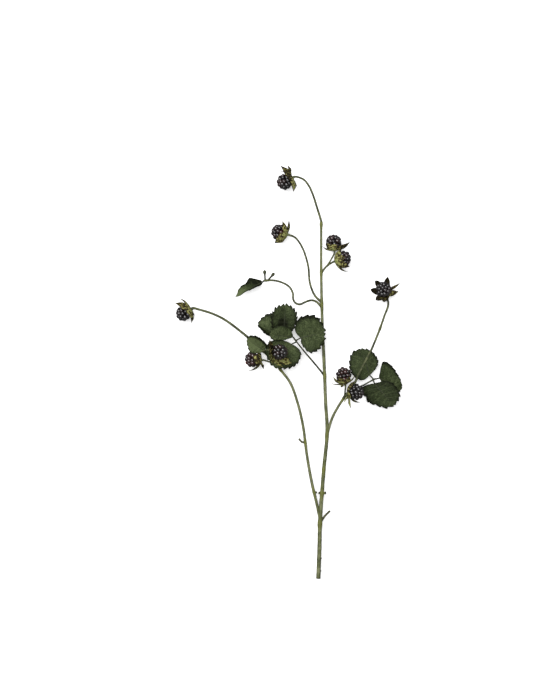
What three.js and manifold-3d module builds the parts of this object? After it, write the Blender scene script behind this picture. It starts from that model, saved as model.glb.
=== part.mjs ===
// A bramble sprig as cut, lying on a surface: a main stem with two side branches, thinner stalks, leaves
// in threes, ripe berries in their lobed calyxes, and a curly twig that ends in a leaf and two buds.
// Millimetres. x runs across the sprig, y from the cut end to the tip, z up from the surface. Routes and
// places are measured from the cut end of the main stem, and the last lines move the whole sprig so that
// its origin is the middle of its footprint, on the surface.
import * as THREE from "three";
import { mergeVertices } from "three/addons/utils/BufferGeometryUtils.js";
import Module from "manifold-3d";

// ---- Driving dimensions ----
const BERRY_RADIUS = 10;
const BERRY_TIP_HEIGHT = 10.6; // from the berry's widest ring to its tip
const BERRY_AROUND = 14;
const BERRY_ALONG = 10;

const CALYX_THICKNESS = 0.8;
const CALYX_GAP = 0.9; // between the calyx and the berry that it holds
const CALYX_REACH = BERRY_RADIUS + CALYX_GAP + CALYX_THICKNESS; // from the berry's middle to the calyx's foot
const CALYX_VALLEY = 42; // degrees round the berry from the calyx's foot to where two lobes part
const CALYX_STEPS = 5;
const LOBE_SEGMENTS = 4;
const LOBE_LEAN = 22; // degrees at most that a lobe's tip is to one side of its root

const STEM_SIDES = 8;
const STEM_STEP = 9; // a ring of a stem every so many millimetres
const CURLY_STEP = 4.5; // and of the curly twig
const JOINT_GAP = 0.35; // between a stem and what grows from it
const FOOT_GAP = 0.45; // between a stalk's end and its calyx
const FOOT_STRAIGHT = 2.5; // a stalk runs straight into its calyx over this length

const LEAF_THICKNESS = 0.7;
const LEAF_ROWS = 12;
const LEAF_ACROSS = 6;
const LEAF_FIRST = 0.04; // share of the margin at the blade's first row and at its last row
const LEAF_LAST = 0.985;
const MIDRIB_SPACING = 1.5; // above 1, the rows of the blade stand closer on the midrib near its base
const STALKLET_ROWS = 2;
const STALKLET_RADIUS = 0.75;
const STALKLET_EDGE = 80; // degrees of the stalklet's round that each half of the leaf's rows spans

const BUD_RADIUS = 2.2;
const BUD_LENGTH = 5.5;
const BUD_STALK_RADIUS = 0.85;
const NUB_RADIUS = 1.1;

const UP = new THREE.Vector3(0, 0, 1);
const radians = THREE.MathUtils.degToRad;
const at = ([x, y, z = 0]) => new THREE.Vector3(x, y, z);

// ---- Materials ----
const plantMaterial = (color, roughness) => new THREE.MeshStandardMaterial({ color, roughness, metalness: 0 });
const stemGreen = () => plantMaterial(0x6f7553, 0.62);
const leafGreen = () => plantMaterial(0x4a533b, 0.7);
const berryBlack = () => plantMaterial(0x2b2127, 0.28);
const calyxOlive = () => plantMaterial(0x76763f, 0.75);

// ---- Joining and cutting ----
const wasm = await Module();
wasm.setup();

function toSolid(geometry) {
  const bare = new THREE.BufferGeometry();
  bare.setAttribute("position", geometry.getAttribute("position"));
  bare.setIndex(geometry.index);
  const merged = mergeVertices(bare, 1e-4);
  const vertProperties = merged.getAttribute("position").array;
  const triVerts = new Uint32Array(merged.index.array);
  return new wasm.Manifold(new wasm.Mesh({ numProp: 3, vertProperties, triVerts }));
}

function toGeometry(solid) {
  const { vertProperties, triVerts, numProp } = solid.getMesh();
  const geometry = new THREE.BufferGeometry();
  geometry.setAttribute("position", new THREE.BufferAttribute(vertProperties, numProp));
  geometry.setIndex(new THREE.BufferAttribute(triVerts, 1));
  geometry.computeVertexNormals();
  return geometry;
}

// ---- Berries in their calyxes ----

// Each berry: the middle of it across and along the sprig, the way it faces from its stalk, and how high
// its lowest point is. Its calyx's lobes grow evenly round it from the uppermost side to the right of the
// way it faces, the first one at turn degrees. They end at their tips: across, along, and up from the
// berry's middle.
const fruits = {
  tip: {
    middle: [-41.8, 497.3],
    faces: [-0.86, -0.42, -0.3],
    lowest: 0,
    turn: 0,
    tips: [
      [-47.5, 515.5, 13],
      [-38.5, 517, 6],
      [-53.8, 506.8, -1],
      [-26.5, 490, 0],
      [-31.5, 484.5, 8.5],
    ],
  },
  upper_left: {
    middle: [-49, 434.5],
    faces: [-0.88, 0.28, -0.36],
    lowest: 0,
    turn: 20,
    tips: [
      [-45.5, 447, 8],
      [-37.2, 449.8, 3],
      [-42, 440, -10],
      [-52, 427, -9],
      [-54.5, 421.2, 5],
    ],
  },
  pair_upper: {
    middle: [19.2, 421.6],
    faces: [-0.05, 0.9, -0.35],
    lowest: 0,
    turn: 352,
    tips: [
      [21, 419.5, 10.8],
      [39, 422.8, 4],
      [21, 414, -10.2],
      [5.6, 416.2, 4],
      [11.5, 420.5, 8],
    ],
  },
  pair_lower: {
    middle: [30.8, 401.2],
    faces: [0.88, 0.3, -0.35],
    lowest: 0,
    turn: 345,
    tips: [
      [32.5, 402.5, 10.8],
      [38.5, 392, 6],
      [36.8, 385.3, 2],
      [25, 400, -10.8],
      [29, 412.3, 4],
    ],
  },
  right: {
    middle: [81.3, 362.6],
    faces: [-0.2, 0.25, 0.93],
    lowest: 3.6,
    turn: 334,
    tips: [
      [81.5, 346.8, 1],
      [99.6, 360.3, 2],
      [101.5, 371, 3],
      [86, 377.6, 2],
      [71.5, 373, 0],
      [66.2, 362.7, 1],
      [72, 350, 0],
    ],
  },
  far_left: {
    middle: [-168.3, 332.7],
    faces: [-0.82, -0.45, -0.3],
    lowest: 0,
    turn: 335,
    tips: [
      [-164.5, 334, 10.8],
      [-178.6, 344.5, 7.5],
      [-174, 351, 5],
      [-155.4, 329.3, -3],
      [-158.6, 321, 4],
    ],
  },
  low_left: {
    middle: [-82, 275],
    faces: [-0.95, 0.05, -0.25],
    lowest: 0,
    turn: 355,
    tips: [
      [-81, 279, 10.8],
      [-76, 286.3, 3],
      [-76, 275, -10.4],
      [-88, 262, 3],
      [-68.6, 263.4, 5],
    ],
  },
  cluster: {
    middle: [-48.5, 284.5],
    faces: [0.75, -0.15, 0.62],
    lowest: 22,
    turn: 355,
    tips: [
      [-58, 285, 11],
      [-52.5, 269.8, 5],
      [-46.5, 268.5, -2],
      [-36, 272, 3],
      [-40, 290, -8],
      [-60, 298.5, 6],
    ],
  },
  upper_right: {
    middle: [31.5, 255.3],
    faces: [-0.15, 0.95, -0.12],
    lowest: 4,
    turn: 325,
    tips: [
      [25.5, 255, 9.5],
      [38.5, 254, 8.5],
      [44.6, 254.6, 3],
      [28, 240.2, -3],
      [16.8, 246, 2],
      [18.6, 253.6, 5],
    ],
  },
  lower_right: {
    middle: [46.5, 235],
    faces: [0.93, 0.3, -0.08],
    lowest: 10.7,
    turn: 300,
    tips: [
      [45.5, 247.6, 5],
      [40.5, 230.5, 10.3],
      [31.8, 222.3, 2],
      [40, 214.6, 0],
      [51.5, 221.8, -4],
    ],
  },
};

// A berry is round below its widest ring and a little longer above it.
function berryGeometry() {
  const geometry = new THREE.SphereGeometry(BERRY_RADIUS, BERRY_AROUND, BERRY_ALONG);
  const position = geometry.getAttribute("position");
  for (let i = 0; i < position.count; i++) {
    const y = position.getY(i);
    if (y > 0) position.setY(i, (y * BERRY_TIP_HEIGHT) / BERRY_RADIUS);
  }
  return geometry;
}

// How a lobe goes to its tip from the foot of a berry that faces up +Y: how far round the berry it
// reaches, how far off the berry the tip is, and how far the tip is to one side of the lobe's root.
function lobeTo(tip, root) {
  const distance = tip.length();
  const around = Math.atan2(-tip.z, tip.x);
  const sideways = THREE.MathUtils.euclideanModulo(around - root + Math.PI, 2 * Math.PI) - Math.PI;
  return {
    reach: Math.acos(-tip.y / distance),
    lift: distance - CALYX_REACH,
    lean: THREE.MathUtils.clamp(sideways, -radians(LOBE_LEAN), radians(LOBE_LEAN)),
  };
}

// A point of a lobe in its own plane, out from the berry's axis and up from its middle. The lobe follows
// the round of the berry and lifts off it towards the tip. Height is measured from its underside, in
// towards the berry.
function lobePoint(share, reach, lift, height) {
  const turned = share * reach;
  const distance = CALYX_REACH + lift * share * share;
  const lifting = 2 * lift * share;
  const out = new THREE.Vector2(Math.sin(turned), -Math.cos(turned));
  const round = new THREE.Vector2(Math.cos(turned), Math.sin(turned));
  const way = round.clone().multiplyScalar(distance * reach).addScaledVector(out, lifting).normalize();
  return out.multiplyScalar(distance).add(new THREE.Vector2(-way.y, way.x).multiplyScalar(height));
}

// A calyx around +Y with the berry's middle as its origin. Its section is a thin closed strip, out along
// the underside and back along the top, and each turn of it is as long as the lobe is there.
function calyxGeometry(turn, tips) {
  const strip = [];
  for (let i = 0; i <= CALYX_STEPS; i++) strip.push(new THREE.Vector2(i / CALYX_STEPS, 0));
  for (let i = CALYX_STEPS; i >= 0; i--) strip.push(new THREE.Vector2(i / CALYX_STEPS, CALYX_THICKNESS));
  const apart = (2 * Math.PI) / tips.length;
  const lobes = tips.map((tip, i) => lobeTo(tip, radians(turn) + i * apart));
  const valley = radians(CALYX_VALLEY);
  const columns = lobes.length * LOBE_SEGMENTS;
  const geometry = new THREE.LatheGeometry(strip, columns);
  const position = geometry.getAttribute("position");
  for (let i = 0; i < position.count; i++) {
    const column = Math.floor(i / strip.length) % columns;
    const { x: share, y: height } = strip[i % strip.length];
    const nearest = Math.round(column / LOBE_SEGMENTS);
    const peak = 1 - 2 * Math.abs(column / LOBE_SEGMENTS - nearest);
    const { reach, lift, lean } = lobes[nearest % lobes.length];
    const point = lobePoint(share, valley + (reach - valley) * peak, lift * peak, height);
    const around = radians(turn) + (apart * column) / LOBE_SEGMENTS + lean * peak * share;
    position.setXYZ(i, point.x * Math.cos(around), point.y, -point.x * Math.sin(around));
  }
  return geometry;
}

// ---- Stems and stalks ----

// Each stem: what it grows from and how far along that, its radius at the start and at the end, and its
// route. A stalk with a fruit ends in that berry's calyx.
const stems = {
  main_stem: {
    radii: [2.75, 1.5],
    route: [
      [0, 0, 2.75],
      [1.5, 39, 3.6],
      [2.5, 76, 5],
      [7, 139, 7.5],
      [11, 184, 9],
      [9, 224, 10.5],
      [7.5, 262, 11.5],
      [5, 318, 12],
      [3.5, 387, 12],
      [3.5, 447, 12.5],
    ],
  },
  tip_stalk: {
    from: "main_stem",
    share: 1,
    radii: [1.5, 1.2],
    route: [
      [-1.5, 464, 13.5],
      [-7, 481, 15],
      [-12, 492, 15],
      [-18.5, 500, 13.5],
    ],
    fruit: "tip",
  },
  upper_left_stalk: {
    from: "main_stem",
    share: 0.775,
    radii: [1.4, 1.2],
    route: [
      [-4.5, 355, 12.5],
      [-10.5, 370, 13.5],
      [-13, 393, 15],
      [-20.5, 415.5, 15],
      [-29, 427.5, 13],
    ],
    fruit: "upper_left",
  },
  curly_twig: {
    from: "main_stem",
    share: 0.762,
    radii: [1.4, 1.2],
    step: CURLY_STEP,
    route: [
      [-3, 347.5, 12.5],
      [-9, 349, 13.5],
      [-16, 347, 14],
      [-23, 344, 13.5],
      [-28.5, 345.5, 13],
      [-31.5, 350.5, 13],
      [-32, 358, 13.5],
      [-36.5, 366, 14],
      [-46, 371.5, 14.5],
      [-57, 374, 14.5],
      [-68, 373.5, 14],
    ],
  },
  pair_stalk: {
    from: "main_stem",
    share: 0.857,
    radii: [1.2, 1.05],
    route: [
      [7, 388, 12],
      [11.5, 392.8, 12],
      [15, 395, 12.2],
    ],
    fruit: "pair_lower",
  },
  pair_side_stalk: {
    from: "pair_stalk",
    share: 0.5,
    radii: [1, 1],
    route: [[16, 400.5, 12.5]],
    fruit: "pair_upper",
  },
  left_branch: {
    from: "main_stem",
    share: 0.165,
    radii: [1.9, 1.6],
    route: [
      [-0.8, 89, 6],
      [-3.5, 101, 6.5],
      [-8, 120, 7],
      [-14.5, 157, 8],
      [-19, 191, 9],
      [-26, 221, 9.5],
      [-35, 245.5, 10],
      [-49, 264.5, 10],
    ],
  },
  left_berry_stalk: {
    from: "left_branch",
    share: 1,
    radii: [1.6, 1.5],
    route: [
      [-59, 276, 10],
      [-78, 294, 10],
      [-98, 311, 11],
      [-118, 325.5, 12.5],
      [-134, 333, 13.5],
      [-149, 337.5, 13],
    ],
    fruit: "far_left",
  },
  low_left_stalk: {
    from: "left_berry_stalk",
    share: 0.065,
    radii: [1, 1],
    route: [[-62.5, 272.5, 10.5]],
    fruit: "low_left",
  },
  cluster_stalk: {
    from: "left_berry_stalk",
    share: 0.13,
    radii: [1, 1],
    route: [
      [-65, 281.5, 14.5],
      [-69.5, 285, 20],
      [-67, 287, 25],
    ],
    fruit: "cluster",
  },
  right_branch: {
    from: "main_stem",
    share: 0.405,
    radii: [1.6, 1.6],
    route: [
      [15.5, 197, 9],
      [20, 207.5, 8.5],
      [25.5, 217, 8],
      [33, 228.5, 7],
    ],
  },
  right_berry_stalk: {
    from: "right_branch",
    share: 1,
    radii: [1.55, 1.25],
    route: [
      [41.5, 239, 9],
      [46.5, 248, 11.5],
      [51, 258.5, 13.5],
      [58, 272, 14.5],
      [65.5, 286, 14],
      [76.5, 312, 9],
      [83, 330, 4.5],
      [88, 345, 2],
    ],
    fruit: "right",
  },
  upper_right_stalk: {
    from: "right_berry_stalk",
    share: 0.02,
    radii: [1, 1],
    route: [[33.5, 237, 11]],
    fruit: "upper_right",
  },
  lower_right_stalk: {
    from: "right_branch",
    share: 0.96,
    radii: [1, 1],
    route: [[31.5, 228.5, 13.5]],
    fruit: "lower_right",
  },
  centre_leaf_stalk: {
    from: "main_stem",
    share: 0.57,
    radii: [1.2, 0.9],
    route: [
      [-1, 265.5, 14],
      [-9, 275, 16],
      [-20, 288, 18.5],
      [-31, 302, 22],
    ],
  },
  left_leaf_stalk: {
    from: "left_berry_stalk",
    share: 0.02,
    radii: [1.1, 0.9],
    route: [
      [-54, 276, 11],
      [-55, 288, 11.5],
      [-51, 296, 12],
      [-44.5, 301, 13],
    ],
  },
  right_leaf_stalk: {
    from: "right_berry_stalk",
    share: 0.07,
    radii: [1.1, 0.9],
    route: [
      [46, 238.5, 7.5],
      [54.5, 242, 7.5],
      [70, 250.5, 9],
    ],
  },
  right_stub: {
    from: "main_stem",
    share: 0.155,
    radii: [1, 1.1],
    route: [
      [7.5, 78, 6],
      [14.5, 85.5, 8],
    ],
  },
  left_stub: {
    from: "left_branch",
    share: 0.5,
    radii: [0.95, 1.05],
    route: [
      [-20, 171.5, 9],
      [-24.5, 176, 10],
    ],
  },
};

// The stumps of shed side shoots on the stems: the stem's name, how far along it they are, and their ends.
const nubs = {
  main_stem: [
    [0.24, [0.2, 108, 6.5]],
    [0.24, [9.6, 108, 6.5]],
    [0.055, [4.2, 26, 4]],
    [0.02, [3.8, 10, 3.2]],
  ],
  left_branch: [[0.18, [-1.6, 108.5, 7]]],
};

// A round stem along its smooth line, closed at both ends and tapering evenly. Grown by a margin all
// over, it is the room that what grows from it leaves free.
function stemGeometry({ line, radii, step = STEM_STEP }, margin = 0) {
  const steps = Math.max(3, Math.round(line.getLength() / step));
  const geometry = new THREE.CylinderGeometry(radii[1] + margin, radii[0] + margin, 1, STEM_SIDES, steps);
  const { tangents, normals, binormals } = line.computeFrenetFrames(steps);
  const position = geometry.getAttribute("position");
  for (let i = 0; i < position.count; i++) {
    const ring = Math.round((position.getY(i) + 0.5) * steps);
    const pastEnd = { 0: -margin, [steps]: margin }[ring] ?? 0;
    const point = line
      .getPointAt(ring / steps)
      .addScaledVector(tangents[ring], pastEnd)
      .addScaledVector(normals[ring], position.getX(i))
      .addScaledVector(binormals[ring], -position.getZ(i));
    position.setXYZ(i, point.x, point.y, point.z);
  }
  return geometry;
}

const smoothLine = (points) => new THREE.CatmullRomCurve3(points, false, "centripetal");

// ---- Leaves ----

// Each leaf: the stalk it grows from and how far along that, where its own stalklet ends along and to the
// left of the leaf's way, that way (degrees anticlockwise from +x), how it is tipped up and rolled, the
// length of its midrib, how it is folded along that and arched down from base to tip, and its left and
// right margins. A margin's points run from the blade's base to its tip: how far along the midrib and how
// far to the left of it they are.
const leaves = {
  centre_right_leaf: {
    stalk: "centre_leaf_stalk",
    share: 0.93,
    stalklet: [6.8, 2.1],
    heading: 13,
    pitch: 8,
    roll: 0,
    length: 30.7,
    fold: 6,
    arch: 28,
    left: [
      [-0.9, 1.7],
      [-3.6, 5.3],
      [-4.8, 10.2],
      [-3.3, 16.1],
      [0.4, 21.5],
      [6.1, 24.7],
      [13.1, 25.3],
      [19.7, 23.6],
      [25, 19.7],
      [28.9, 13.2],
      [31.2, 6],
    ],
    right: [
      [0.1, -1.8],
      [-1.1, -5.1],
      [0.2, -10],
      [2.2, -14.6],
      [4.8, -18.8],
      [8.8, -21.1],
      [15, -20.2],
      [20.1, -17.8],
      [24.1, -14.1],
      [27.4, -8.6],
    ],
  },
  centre_tip_leaf: {
    stalk: "centre_leaf_stalk",
    share: 1,
    stalklet: [1.5, -1.5],
    heading: 178,
    pitch: 17,
    roll: -16,
    length: 29.1,
    fold: 5,
    arch: 14,
    left: [
      [1.7, 1.6],
      [5.7, 3],
      [10.7, 4.5],
      [16.7, 5.5],
      [22.7, 5.7],
      [26.9, 4],
    ],
    right: [
      [0.4, -2.7],
      [2.6, -7.4],
      [6.4, -11],
      [11.3, -12.9],
      [16.9, -13.1],
      [21.7, -11.9],
      [25.4, -8.9],
      [28.4, -5],
    ],
  },
  centre_left_leaf: {
    stalk: "centre_leaf_stalk",
    share: 0.9,
    stalklet: [5.8, -4.1],
    heading: -118,
    pitch: -11,
    roll: 7,
    length: 33.8,
    fold: 6,
    arch: -24,
    left: [
      [-0.5, 3.3],
      [0, 8.3],
      [1.8, 13.4],
      [5.2, 16.7],
      [10.9, 17.9],
      [18, 17.7],
      [23.7, 15.1],
      [27.9, 10.5],
      [31.2, 5.4],
    ],
    right: [
      [-0.3, -1.9],
      [-0.3, -6.5],
      [0.9, -12.6],
      [3.9, -19],
      [8, -23.7],
      [13.8, -26.3],
      [20.7, -26],
      [25.8, -22.6],
      [29.9, -17.4],
      [33.4, -11.3],
      [35.1, -5.1],
    ],
  },
  left_tip_leaf: {
    stalk: "left_leaf_stalk",
    share: 1,
    stalklet: [10.8, -1.2],
    heading: 88,
    pitch: 13,
    roll: 0,
    length: 31.5,
    fold: 14,
    arch: 20,
    left: [
      [-0.9, 2.6],
      [-0.8, 8.3],
      [2.3, 13.5],
      [7.7, 16],
      [14.4, 16.2],
      [20.2, 15.2],
      [25.1, 12.8],
      [29.3, 8.3],
    ],
    right: [
      [-0.8, -2.5],
      [-1.3, -7.7],
      [1, -11.5],
      [5.6, -13.4],
      [10.6, -15],
      [16.4, -15.5],
      [21.2, -14.8],
      [26, -12.4],
      [29.8, -8.1],
    ],
  },
  left_upper_leaf: {
    stalk: "left_leaf_stalk",
    share: 0.97,
    stalklet: [9.4, -1],
    heading: 148,
    pitch: -1,
    roll: 34,
    length: 25.6,
    fold: 36,
    arch: 5,
    left: [
      [0.8, 9.3],
      [5.6, 16],
      [11.5, 14.8],
      [17, 11.1],
      [23, 6.7],
    ],
    right: [
      [-0.9, -4.1],
      [0.6, -11.4],
      [5.5, -17.7],
      [12.2, -20.5],
      [17.7, -20.2],
      [21.8, -17.6],
      [24.5, -12.4],
      [25.9, -6.7],
    ],
  },
  left_side_leaf: {
    stalk: "left_leaf_stalk",
    share: 0.31,
    stalklet: [17.8, -0.8],
    heading: 147,
    pitch: 14,
    roll: -10,
    length: 25,
    fold: 22,
    arch: 6,
    left: [
      [1.1, 3.3],
      [4.7, 7.4],
      [9.1, 10.1],
      [14.2, 10.8],
      [19, 7.8],
      [23.5, 3.5],
    ],
    right: [
      [-0.3, -3.8],
      [2.3, -9.4],
      [8.4, -11.3],
      [14.3, -12.1],
      [19.2, -11.3],
      [23.7, -8.1],
      [26.5, -3.9],
    ],
  },
  right_upper_leaf: {
    stalk: "right_leaf_stalk",
    share: 0.975,
    stalklet: [6.9, 3],
    heading: 108,
    pitch: -6,
    roll: 0,
    length: 34.2,
    fold: 5,
    arch: 4,
    left: [
      [-1.9, 3],
      [-3.4, 6.7],
      [-3.3, 11.4],
      [-0.1, 16.1],
      [4.8, 19.3],
      [11.1, 20.9],
      [18.4, 20.4],
      [24.6, 18.1],
      [29.9, 14.9],
      [33.4, 10.6],
      [34.7, 5.4],
    ],
    right: [
      [0.7, -2],
      [2.9, -6.5],
      [6.6, -11.4],
      [10.7, -14.6],
      [16.2, -15.6],
      [21.3, -14.6],
      [26.1, -12.4],
      [30.2, -9],
      [32.8, -4.5],
    ],
  },
  right_tip_leaf: {
    stalk: "right_leaf_stalk",
    share: 1,
    stalklet: [5.6, 3.4],
    heading: -21,
    pitch: -6,
    roll: 14,
    length: 30.9,
    fold: 6,
    arch: 8,
    left: [
      [-1.3, 1.4],
      [-2.6, 7.5],
      [-4.3, 14.9],
      [-4.5, 22.2],
      [1.1, 23],
      [9.1, 20.2],
      [17.3, 14.4],
      [24.6, 8.5],
    ],
    right: [
      [4.4, -4.3],
      [7.4, -11.9],
      [12.8, -17.5],
      [19.5, -18.2],
      [24.8, -15.3],
      [29.1, -9.4],
      [31.4, -4.3],
    ],
  },
  right_lower_leaf: {
    stalk: "right_leaf_stalk",
    share: 0.955,
    stalklet: [4.7, -1.8],
    heading: -50,
    pitch: 15,
    roll: 14,
    length: 36.6,
    fold: -10,
    arch: 20,
    left: [
      [2.2, 4.4],
      [4.3, 9.3],
      [8.6, 13.7],
      [14.6, 16.7],
      [21.9, 17],
      [29.2, 15.8],
      [32.9, 13],
      [35.8, 6.7],
    ],
    right: [
      [-2.9, -4],
      [-6.3, -10.1],
      [-8.4, -18.4],
      [-5.5, -22],
      [-0, -21.1],
      [3.8, -20],
      [8.7, -21.6],
      [14.6, -21.2],
      [19.4, -18.2],
      [24.2, -15.5],
      [29.5, -11.7],
      [34.3, -6.3],
    ],
  },
  curly_twig_leaf: {
    stalk: "curly_twig",
    share: 1,
    stalklet: [3.1, 1.2],
    heading: -155,
    pitch: 0,
    roll: 52,
    length: 38.2,
    fold: 14,
    arch: 8,
    left: [
      [1.1, 5],
      [4.2, 7],
      [9.4, 6.5],
      [14.2, 4.5],
      [20, 3.8],
      [25.8, 3.4],
      [31.6, 3],
    ],
    right: [
      [-0.2, -2],
      [2.5, -6.8],
      [6.3, -11.2],
      [10.7, -14.3],
      [14.1, -14.8],
      [17.2, -11.9],
      [21.9, -11.4],
      [27.3, -9.2],
      [32.2, -5.6],
    ],
  },
};

const marginLine = (points, length) => smoothLine([[0, 0], ...points, [length, 0]].map(at));

// A point of the flat blade, x along its midrib. share runs along the margins from the blade's base to
// its tip, and across from the right margin (-1) over the midrib (0) to the left one (1).
function bladePoint(share, across, margins, length) {
  const margin = margins[across < 0 ? "right" : "left"].getPointAt(share);
  const midribX = length * Math.pow(share, MIDRIB_SPACING);
  return { x: midribX + Math.abs(across) * (margin.x - midribX), y: Math.abs(across) * margin.y };
}

// A leaf along +X from the foot of its stalklet: a box of rows, the first rows drawn in to the round
// stalklet.
function leafGeometry(leaf) {
  const rows = STALKLET_ROWS + LEAF_ROWS;
  const geometry = new THREE.BoxGeometry(rows, 2, LEAF_THICKNESS, rows, LEAF_ACROSS, 1);
  const position = geometry.getAttribute("position");
  const fold = radians(leaf.fold);
  const arch = radians(leaf.arch);
  const margins = { left: marginLine(leaf.left, leaf.length), right: marginLine(leaf.right, leaf.length) };
  const [baseX, baseY] = leaf.stalklet;
  for (let i = 0; i < position.count; i++) {
    const row = Math.round(position.getX(i) + rows / 2);
    const across = position.getY(i);
    if (row < STALKLET_ROWS) {
      const round = radians(STALKLET_EDGE) * across;
      const above = Math.sign(position.getZ(i)) * STALKLET_RADIUS * Math.cos(round);
      const gone = row / STALKLET_ROWS;
      position.setXYZ(i, baseX * gone, baseY * gone + STALKLET_RADIUS * Math.sin(round), above);
      continue;
    }
    const share = LEAF_FIRST + ((LEAF_LAST - LEAF_FIRST) * (row - STALKLET_ROWS)) / LEAF_ROWS;
    const flat = bladePoint(share, across, margins, leaf.length);
    const lift = Math.abs(flat.y) * Math.sin(fold) + position.getZ(i);
    const turned = (arch * Math.max(0, flat.x)) / leaf.length;
    const x = (leaf.length / arch) * Math.sin(turned) + Math.min(0, flat.x) + lift * Math.sin(turned);
    const z = lift * Math.cos(turned) - (leaf.length / arch) * (1 - Math.cos(turned));
    position.setXYZ(i, baseX + x, baseY + flat.y * Math.cos(fold), z);
  }
  return geometry;
}

// ---- Buds ----

// The buds at the end of the curly twig: how far along it each one grows, its stalk's length, and its way.
const buds = {
  upright_bud: { share: 0.985, stalk: 8.5, points: [-0.05, 0.95, 0.25] },
  leaning_bud: { share: 0.95, stalk: 8, points: [0.65, 0.7, 0.3] },
};

// A bud around +Y on its thin stalk: an oval with a pointed tip.
function budGeometry(stalk) {
  const oval = new THREE.SplineCurve([
    new THREE.Vector2(BUD_STALK_RADIUS, stalk),
    new THREE.Vector2(BUD_RADIUS, stalk + BUD_LENGTH * 0.4),
    new THREE.Vector2(BUD_RADIUS * 0.6, stalk + BUD_LENGTH * 0.8),
    new THREE.Vector2(0, stalk + BUD_LENGTH),
  ]);
  const profile = [new THREE.Vector2(0, 0), new THREE.Vector2(BUD_STALK_RADIUS, 0), ...oval.getPoints(6)];
  return new THREE.LatheGeometry(profile, STEM_SIDES);
}

// ---- The sprig ----
const sprig = new THREE.Group();

function addPiece(name, geometry, material, parent = sprig) {
  const mesh = new THREE.Mesh(geometry, material);
  mesh.name = name;
  parent.add(mesh);
  return mesh;
}

// Each berry with its calyx is a group in the berry's own frame, set down to its height over the surface.
for (const [name, fruit] of Object.entries(fruits)) {
  const axis = at(fruit.faces).normalize();
  const side = UP.clone().cross(axis).normalize();
  const front = axis.clone().cross(side);
  const group = new THREE.Group();
  group.position.set(...fruit.middle, 0);
  group.setRotationFromMatrix(new THREE.Matrix4().makeBasis(front, axis, side));
  addPiece(`${name}_berry`, berryGeometry(), berryBlack(), group);
  const [across, along] = fruit.middle;
  const turnedBack = group.quaternion.clone().invert();
  const tips = fruit.tips.map(([x, y, z]) => at([x - across, y - along, z]).applyQuaternion(turnedBack));
  addPiece(`${name}_calyx`, calyxGeometry(fruit.turn, tips), calyxOlive(), group);
  group.position.z = fruit.lowest - new THREE.Box3().setFromObject(group, true).min.z;
  fruit.foot = group.position.clone().addScaledVector(axis, -CALYX_REACH - FOOT_GAP);
  fruit.axis = axis;
  sprig.add(group);
}

// Each stem starts on the centre line of the one it grows from, and is cut free of it by the joint's gap.
for (const [name, stem] of Object.entries(stems)) {
  const parent = stems[stem.from];
  const points = stem.route.map(at);
  if (parent) points.unshift(parent.line.getPointAt(stem.share));
  if (stem.fruit) {
    const { foot, axis } = fruits[stem.fruit];
    points.push(foot.clone().addScaledVector(axis, -FOOT_STRAIGHT), foot);
  }
  stem.line = smoothLine(points);
  stem.room = toSolid(stemGeometry(stem, JOINT_GAP));
  let solid = toSolid(stemGeometry(stem));
  if (parent) solid = solid.subtract(parent.room);
  for (const [share, end] of nubs[name] ?? []) {
    const nub = { line: smoothLine([stem.line.getPointAt(share), at(end)]), radii: [NUB_RADIUS, NUB_RADIUS] };
    solid = solid.add(toSolid(stemGeometry(nub)));
  }
  addPiece(name, toGeometry(solid), stemGreen());
}

// A leaf or a bud is cut free of the stalk it grows from in its own frame, so its mesh keeps place and
// rotation.
function addGrowth(name, geometry, material, stalk, place, rotation) {
  const own = new THREE.Matrix4().makeRotationFromEuler(rotation).setPosition(place);
  const room = stalk.room.transform(own.clone().invert().toArray());
  const mesh = addPiece(name, toGeometry(toSolid(geometry).subtract(room)), material);
  mesh.position.copy(place);
  mesh.rotation.copy(rotation);
}

for (const [name, leaf] of Object.entries(leaves)) {
  const stalk = stems[leaf.stalk];
  const rotation = new THREE.Euler(radians(leaf.roll), radians(-leaf.pitch), radians(leaf.heading), "ZYX");
  addGrowth(name, leafGeometry(leaf), leafGreen(), stalk, stalk.line.getPointAt(leaf.share), rotation);
}

for (const [name, bud] of Object.entries(buds)) {
  const stalk = stems.curly_twig;
  const turn = new THREE.Quaternion().setFromUnitVectors(new THREE.Vector3(0, 1, 0), at(bud.points).normalize());
  const rotation = new THREE.Euler().setFromQuaternion(turn);
  addGrowth(name, budGeometry(bud.stalk), calyxOlive(), stalk, stalk.line.getPointAt(bud.share), rotation);
}

// The origin is the middle of the footprint, on the surface.
const box = new THREE.Box3().setFromObject(sprig, true);
const middle = box.getCenter(new THREE.Vector3());
sprig.position.set(-middle.x, -middle.y, -box.min.z);

export default sprig;
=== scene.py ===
import math
import random

import bpy
from mathutils import Euler, Matrix, Vector, kdtree, noise
from mathutils.geometry import interpolate_bezier


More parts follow.
